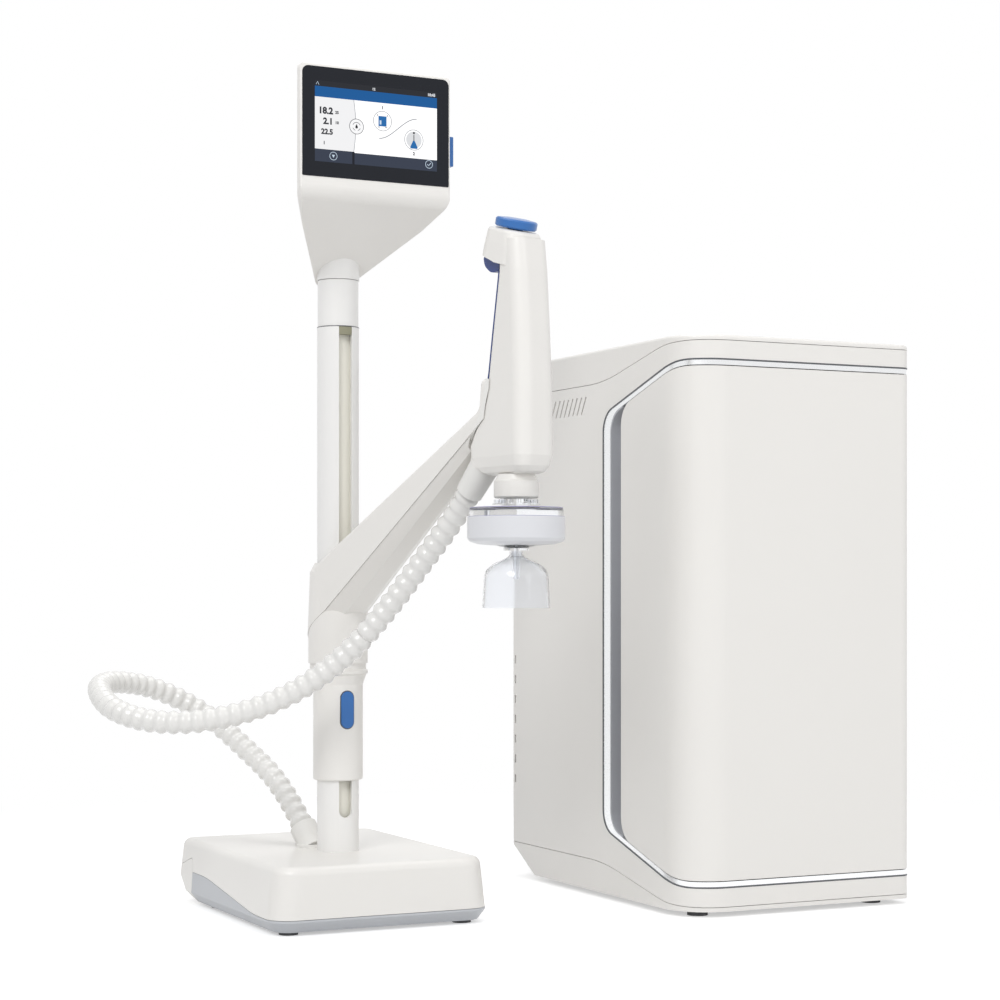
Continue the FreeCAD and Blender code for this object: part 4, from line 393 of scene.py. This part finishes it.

# Thin lines: dark beads of painted shade in the step round the door's bright surround (with a painted dark
# reflection in its bevel), in the gap round the release button and at the column's collar, the navy edge of the
# grip's inlay, and the tinted rims of the filter. Each is a fine bead of round section.
BEAD_SIDES = 8
SMOOTH_BEAD = 80


def bead(name, route, radius, material, body, closed=False):
    """A fine bead of even radius along a route of points, closed at its ends or run back to its start."""
    rings = []
    side = Vector((0.31, 0.52, 0.79))
    for i, at in enumerate(route):
        before = route[i - 1] if i or closed else at
        after = route[(i + 1) % len(route)] if i + 1 < len(route) or closed else at
        ahead = (after - before).normalized()
        side = (side - ahead * side.dot(ahead)).normalized()
        turn = Matrix((side, ahead.cross(side), ahead)).transposed().to_4x4()
        rings.append(Matrix.Translation(at) @ turn @ Matrix.Scale(radius, 4))
    bm = bmesh.new()
    tube(bm, rings + rings[:1] if closed else rings, BEAD_SIDES)
    bmesh.ops.remove_doubles(bm, verts=bm.verts, dist=MERGE)
    bmesh.ops.holes_fill(bm, edges=[edge for edge in bm.edges if edge.is_boundary], sides=0)
    piece = put(bm, name, material, SMOOTH_BEAD)
    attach(piece, body)
    return piece


FRONT_CORNER_DEPTH = 0.06
SHARP_EDGE = math.radians(50)


def outer_edge(node):
    """The closed line where a surround's face meets its outer side, walked round a merged copy of its mesh."""
    bm = bmesh.new()
    bm.from_mesh(node.data)
    bmesh.ops.remove_doubles(bm, verts=bm.verts, dist=MERGE)
    low = [min(v.co[i] for v in bm.verts) for i in range(3)]
    high = [max(v.co[i] for v in bm.verts) for i in range(3)]
    mid_x, mid_z = (low[0] + high[0]) / 2, (low[2] + high[2]) / 2
    deep = low[1] + FRONT_CORNER_DEPTH
    links = {}
    for edge in bm.edges:
        if len(edge.link_faces) != 2 or edge.calc_face_angle(0) < SHARP_EDGE:
            continue
        at = (edge.verts[0].co + edge.verts[1].co) / 2
        skin_way = Vector((at.x - mid_x, min(0, at.y - deep), 0))
        ring_way = Vector((0, at.y - low[1], at.z - mid_z))
        one, two = (face.normal for face in edge.link_faces)
        for skin, ringed in ((one, two), (two, one)):
            upright = skin.dot(skin_way) > 0 and abs(skin.z) < 0.2
            if upright and ringed.dot(ring_way) > 0 and abs(ringed.dot(skin)) < 0.4:
                a, b = (tuple(vert.co) for vert in edge.verts)
                links.setdefault(a, set()).add(b)
                links.setdefault(b, set()).add(a)
                break
    bm.free()
    route = [max(links, key=lambda co: co[2])]
    while True:
        onward = [co for co in links[route[-1]] if co not in route]
        if not onward:
            return [Vector(co) for co in route]
        route.append(onward[0])


# Painted shade: one dark material for the beads that stand in for the shade in the steps and gaps round the door's
# surround, the release button and the collar.
painted_gap_shade = moulded("painted_gap_shade", (0.10, 0.105, 0.115), rough=0.35, mottle=0.1)
column_low, column_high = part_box("column_collar")
COLUMN_AT = Vector(((column_low[0] + column_high[0]) / 2, (column_low[1] + column_high[1]) / 2, 0))
FINE_R = 0.0004
TRIM_BEAD_R = 0.0008
RIGHT_STOP = 0.0015
COLLAR_SEAM = 0.505
COLLAR_SEAM_R = 0.0178
BUTTON_BEAD_R = 0.0005
BUTTON_Z = 0.1776
BUTTON_HALF = 0.0060
BUTTON_REACH = 0.0101
SLEEVE_R = 0.0214


def circle(centre, z, r, count=48):
    """Points on a level circle."""
    turns = [2 * math.pi * i / count for i in range(count)]
    return [Vector((centre.x + r * math.cos(t), centre.y + r * math.sin(t), z)) for t in turns]


# Painted shade and painted reflection: a dark bead along the trim's outer edge stands in for the shade in the step
# between shell and trim and for the dark reflection in the trim's outer bevel.
trim_line = outer_edge(frame["nodes"]["door_trim"])
trim_line = [point for point in trim_line if point.x < cad_box[1][0] - RIGHT_STOP]
bead("trim_outline_shade", trim_line, TRIM_BEAD_R, painted_gap_shade, "cabinet_and_stand")
# Painted shade: a dark ring at the collar's lower end stands in for the thin shadow line at its joint with the
# column.
collar_line = circle(COLUMN_AT, COLLAR_SEAM, COLLAR_SEAM_R)
bead("collar_seam_shade", collar_line, FINE_R, painted_gap_shade, "cabinet_and_stand", True)
# Painted shade: a dark bead round the release button stands in for the shade in the gap between button and sleeve.
button_line = []
for turn in list(range(0, 181, 15)) + list(range(181, 361, 15)) + [359.9]:
    x = math.cos(math.radians(turn)) * BUTTON_HALF
    z = math.sin(math.radians(turn)) * BUTTON_HALF + BUTTON_REACH * (1 if turn < 180 else -1)
    button_line.append(Vector((COLUMN_AT.x + x, COLUMN_AT.y - math.sqrt(SLEEVE_R ** 2 - x * x), BUTTON_Z + z)))
bead("button_outline_shade", button_line, BUTTON_BEAD_R, painted_gap_shade, "carriage", True)
GRIP_BEAD_R = 0.0006
GRIP_LINE_OUT = Vector((-0.00036, 0.00018, 0))
GRIP_LINE = [
    (-0.1545, -0.1766, 0.444), (-0.1541, -0.1778, 0.450), (-0.1532, -0.1827, 0.480),
    (-0.1529, -0.1869, 0.500), (-0.1527, -0.1912, 0.520), (-0.1525, -0.1924, 0.527)]
grip_line = [Vector(point) + GRIP_LINE_OUT for point in GRIP_LINE]
bead("grip_edge_line", grip_line, GRIP_BEAD_R, FINISHES["navy"], "handset")
filter_low, filter_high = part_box("filter_band")
FILTER_AT = Vector(((filter_low[0] + filter_high[0]) / 2, (filter_low[1] + filter_high[1]) / 2, 0))
tinted = moulded("tinted_rim", (0.40, 0.38, 0.56), rough=0.2, mottle=0.05)
RIM_Z, RIM_R = 0.3438, 0.0362
JOINT_Z, JOINT_R = 0.3368, 0.0375
bead("filter_rim_line", circle(FILTER_AT, RIM_Z, RIM_R, 64), FINE_R, tinted, "filter", True)
bead("filter_joint_line", circle(FILTER_AT, JOINT_Z, JOINT_R, 64), FINE_R, tinted, "filter", True)

# Splash bell: a thin clear moulding turned round the nozzle, with a short neck, a soft shoulder and a straight
# skirt that flares a little. It pushes over the filter's outlet and pulls straight down.
BELL_WALL = 0.0013
BELL_BORE = 0.0040
BELL_STEPS = 72
SHOULDER_FROM, SHOULDER_TO = 0.0070, 0.0240
SHOULDER_WALL = 0.8 * BELL_WALL
BELL_SIDE = [
    (0.0052, 0.3100), (0.0052, 0.3078), (0.0058, 0.3064), (0.0074, 0.3052), (0.0110, 0.3036),
    (0.0150, 0.3019), (0.0185, 0.3000), (0.0213, 0.2979), (0.0234, 0.2953), (0.0247, 0.2922),
    (0.0252, 0.2888), (0.0254, 0.2850), (0.0260, 0.2750), (0.0266, 0.2672), (0.0266, 0.2659)]
inner_side = []
for r, z in BELL_SIDE[:-1]:
    drop = SHOULDER_WALL if SHOULDER_FROM < r < SHOULDER_TO else 0
    inner_side.append((max(r - BELL_WALL, BELL_BORE), z - drop))
inner_side.append((BELL_SIDE[-1][0] - BELL_WALL, BELL_SIDE[-1][1]))
bm = bmesh.new()
profile = [bm.verts.new((FILTER_AT.x + r, FILTER_AT.y, z)) for r, z in BELL_SIDE + inner_side[::-1]]
profile_edges = [bm.edges.new(pair) for pair in zip(profile, profile[1:] + profile[:1])]
bmesh.ops.spin(bm, geom=profile + profile_edges, cent=FILTER_AT, axis=(0, 0, 1), angle=2 * math.pi,
               steps=BELL_STEPS, use_merge=True)
bell = put(bm, "bell", FINISHES["clear"], 50)
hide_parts("splash_bell")
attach(bell, "splash_bell")

# Screen: the lit picture as thin plates on the glass, in layers, in millimetres from the glass's middle and the
# bench: header, blue band, two panels, two bars, round signs and plain numbers.
MM = 0.001
glass_low, glass_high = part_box("screen_glass")
SCREEN_X = (glass_low[0] + glass_high[0]) / 2
SCREEN_Y = glass_low[1]
LAYER = 0.03 * MM


def lit(name, colour, strength=0.86, mottle=0.05):
    """A patch of lit screen behind glass: it glows in its own colour and still mirrors a little."""
    return moulded(name, [c * 0.12 for c in colour], rough=0.14, mottle=mottle, depth=0.0, spread=0.03,
                   Specular_IOR_Level=0.15, Emission_Color=(*colour, 1), Emission_Strength=strength)


def plate(bm, points, layer):
    """A flat plate with that outline on the screen, as thick as its layer is high."""
    verts = [bm.verts.new((SCREEN_X + x * MM, SCREEN_Y, z * MM)) for x, z in points]
    edges = [bm.edges.new(pair) for pair in zip(verts, verts[1:] + verts[:1])]
    face = bmesh.ops.contextual_create(bm, geom=edges)["faces"]
    raised = bmesh.ops.extrude_face_region(bm, geom=face)["geom"]
    top = [g for g in raised if isinstance(g, bmesh.types.BMVert)]
    bmesh.ops.translate(bm, verts=top, vec=(0, -layer * LAYER, 0))


def rectangle(x0, x1, z0, z1):
    """The corners of an upright rectangle."""
    return [(x0, z0), (x1, z0), (x1, z1), (x0, z1)]


def disc(x, z, r, count=40):
    """Points round a disc."""
    return [(x + r * math.cos(2 * math.pi * i / count), z + r * math.sin(2 * math.pi * i / count))
            for i in range(count)]


def stroke(points, width):
    """A line of even width along points, as one outline."""
    left, right = [], []
    for i, (x, z) in enumerate(points):
        (ax, az), (bx, bz) = points[max(i - 1, 0)], points[min(i + 1, len(points) - 1)]
        length = math.hypot(bx - ax, bz - az)
        nx, nz = (az - bz) / length * width / 2, (bx - ax) / length * width / 2
        left.append((x + nx, z + nz))
        right.append((x - nx, z - nz))
    return left + right[::-1]


def arc(x, z, r, first, last, count=16):
    """Points on a circle between two angles in degrees."""
    turns = [math.radians(first + (last - first) * i / count) for i in range(count + 1)]
    return [(x + r * math.cos(t), z + r * math.sin(t)) for t in turns]


def ring(x, z, r, width):
    """A full circle as four quarter strokes."""
    return [stroke(arc(x, z, r, turn, turn + 90, 12), width) for turn in (45, 135, 225, 315)]


HALF = 54.5
BAR_LOW, BAR_TOP, PANEL_TOP, BAND_TOP, HEADER_TOP = 629.6, 639.8, 682.3, 691.0, 695.5
SPLIT_X = -20.3
BUTTON = (-17.9, 660.8)
TANK = (5.2, 667.4)
FLASK = (33.5, 654.2)
bulge = [(SPLIT_X + 1.8 * math.sin(math.pi * i / 14), BAR_TOP + (PANEL_TOP - BAR_TOP) * i / 14)
         for i in range(15)]
sweep = [(2.2 + 33.8 * i / 16, 652.9 + 18.8 * (3 * (i / 16) ** 2 - 2 * (i / 16) ** 3)) for i in range(17)]
tank_x, tank_z = TANK
flask_x, flask_z = FLASK
PICTURE = [
    ("screen_header", lit("screen_header", (0.022, 0.024, 0.030)), 1, [
        rectangle(-HALF, HALF, BAND_TOP, HEADER_TOP)]),
    ("screen_band", lit("screen_band", (0.008, 0.105, 0.33), mottle=0.5), 1, [
        rectangle(-HALF, HALF, PANEL_TOP, BAND_TOP)]),
    ("screen_panel_left", lit("screen_panel_left", (0.90, 0.90, 0.91), mottle=0.02), 1, [
        [(-HALF, BAR_TOP)] + bulge + [(-HALF, PANEL_TOP)]]),
    ("screen_panel_right", lit("screen_panel_right", (1.0, 1.0, 1.0), 1.0, 0.01), 0.9, [
        rectangle(SPLIT_X, HALF, BAR_TOP - 0.8, PANEL_TOP + 0.7)]),
    ("screen_bars", lit("screen_bars", (0.040, 0.050, 0.078), mottle=0.3), 1.1, [
        rectangle(-HALF, SPLIT_X - 1.4, BAR_LOW, BAR_TOP),
        rectangle(SPLIT_X + 0.6, HALF, BAR_LOW, BAR_TOP - 0.8)]),
    ("screen_bar_split", lit("screen_bar_split", (0.012, 0.014, 0.022)), 1.05, [
        rectangle(SPLIT_X - 1.4, SPLIT_X + 0.6, BAR_LOW, BAR_TOP)]),
    ("screen_lines", lit("screen_lines", (0.30, 0.31, 0.34)), 1.6, [
        stroke(bulge, 0.5), stroke(sweep, 0.7)] + ring(*TANK, 8.1, 0.5) + ring(*FLASK, 8.4, 0.5)),
    ("screen_button_disc", lit("screen_button_disc", (0.96, 0.96, 0.97)), 2.0, [disc(*BUTTON, 6.3)]),
    ("screen_flask_disc", lit("screen_flask_disc", (0.74, 0.75, 0.77)), 2.0, [disc(*FLASK, 7.0)]),
    ("screen_rings", lit("screen_rings", (0.10, 0.10, 0.11)), 2.4, [
        stroke(arc(*BUTTON, 3.4, 20, 160), 0.45), stroke(arc(*BUTTON, 3.4, 200, 250), 0.45),
        stroke(arc(*BUTTON, 3.4, 290, 340), 0.45)] + ring(*BUTTON, 6.2, 0.5)),
    ("screen_blues", lit("screen_blues", (0.020, 0.15, 0.42), mottle=0.35), 2.6, [
        rectangle(tank_x - 3.6, tank_x + 3.6, tank_z - 4.4, tank_z + 4.0),
        [(flask_x - 3.1, flask_z - 7.2), (flask_x + 3.1, flask_z - 7.2), (flask_x + 3.3, flask_z - 6.0),
         (flask_x + 0.7, flask_z - 0.6), (flask_x - 0.7, flask_z - 0.6), (flask_x - 3.3, flask_z - 6.0)]]),
    ("screen_darks", lit("screen_darks", (0.012, 0.013, 0.016)), 3.0, [
        disc(BUTTON[0], BUTTON[1] - 0.5, 1.15, 20),
        [(BUTTON[0] - 1.0, BUTTON[1]), (BUTTON[0] + 1.0, BUTTON[1]), (BUTTON[0], BUTTON[1] + 2.2)],
        rectangle(flask_x - 0.35, flask_x + 0.35, flask_z - 0.6, flask_z + 4.4),
        rectangle(flask_x - 0.8, flask_x + 0.8, flask_z + 5.0, flask_z + 6.6),
        stroke([(tank_x - 4.3, tank_z + 5.3), (tank_x - 4.3, tank_z + 3.9)], 0.5),
        stroke([(tank_x + 4.3, tank_z + 5.3), (tank_x + 4.3, tank_z + 3.9)], 0.5),
        stroke([(tank_x - 4.3, tank_z - 5.2), (tank_x - 2.2, tank_z - 5.2)], 0.5),
        stroke([(tank_x + 2.2, tank_z - 5.2), (tank_x + 4.3, tank_z - 5.2)], 0.5)]),
    ("screen_lights", lit("screen_lights", (0.62, 0.74, 0.86)), 3.2, [
        rectangle(tank_x - 2.6, tank_x - 1.0, tank_z - 3.0, tank_z + 0.4),
        [(-39.6, 635.8), (-37.0, 635.8), (-38.3, 633.4)],
        stroke([(45.6, 635.1), (46.8, 634.0), (49.0, 636.3)], 0.5),
        stroke([(-53.4, 692.2), (-52.2, 694.6), (-51.0, 692.2)], 0.4)]
        + ring(47.3, 635.1, 3.2, 0.4) + ring(-38.3, 634.8, 3.2, 0.4)),
]
for name, material, layer, shapes in PICTURE:
    bm = bmesh.new()
    for points in shapes:
        plate(bm, points, layer)
    piece = put(bm, name, material, 20)
    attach(piece, "head")

NUMBERS = [
    ("18.2", -38.7, 669.0, 7.4, "RIGHT"), ("2.1", -38.7, 660.6, 7.0, "RIGHT"), ("22.5", -38.7, 652.3, 6.0, "RIGHT"),
    ("25", -36.8, 669.6, 3.2, "LEFT"), ("10", -36.8, 661.2, 3.2, "LEFT"), ("1", -45.5, 643.9, 3.6, "RIGHT"),
    ("1", 5.2, 677.2, 3.6, "CENTER"), ("2", 33.5, 641.6, 3.6, "CENTER")]
TOP_NUMBERS = [("10:45", 53.0, 692.1, 3.2, "RIGHT"), ("12", -4.0, 692.1, 2.8, "LEFT")]
BOLDNESS = 0.046


def numbers(name, rows, material, layer):
    """Plain figures, drawn as text and turned into one mesh on the screen."""
    bm = bmesh.new()
    for text, x, z, size, align in rows:
        curve = bpy.data.curves.new(name, "FONT")
        curve.body = text
        curve.align_x = align
        curve.size = size * MM
        curve.offset = BOLDNESS * size * MM
        curve.extrude = layer * LAYER
        curve.resolution_u = 3
        holder = bpy.data.objects.new(name, curve)
        scene.collection.objects.link(holder)
        bpy.context.view_layer.update()
        drawn = bpy.data.meshes.new_from_object(holder)
        at = Matrix.Translation((SCREEN_X + x * MM, SCREEN_Y, z * MM))
        drawn.transform(at @ Matrix.Rotation(math.pi / 2, 4, "X"))
        bm.from_mesh(drawn)
        bpy.data.meshes.remove(drawn)
        bpy.data.objects.remove(holder)
    piece = put(bm, name, material, 20)
    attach(piece, "head")


numbers("screen_numbers", NUMBERS, lit("screen_figures", (0.03, 0.032, 0.04)), 3.0)
numbers("screen_top_numbers", TOP_NUMBERS, lit("screen_top_figures", (0.75, 0.77, 0.80)), 3.0)
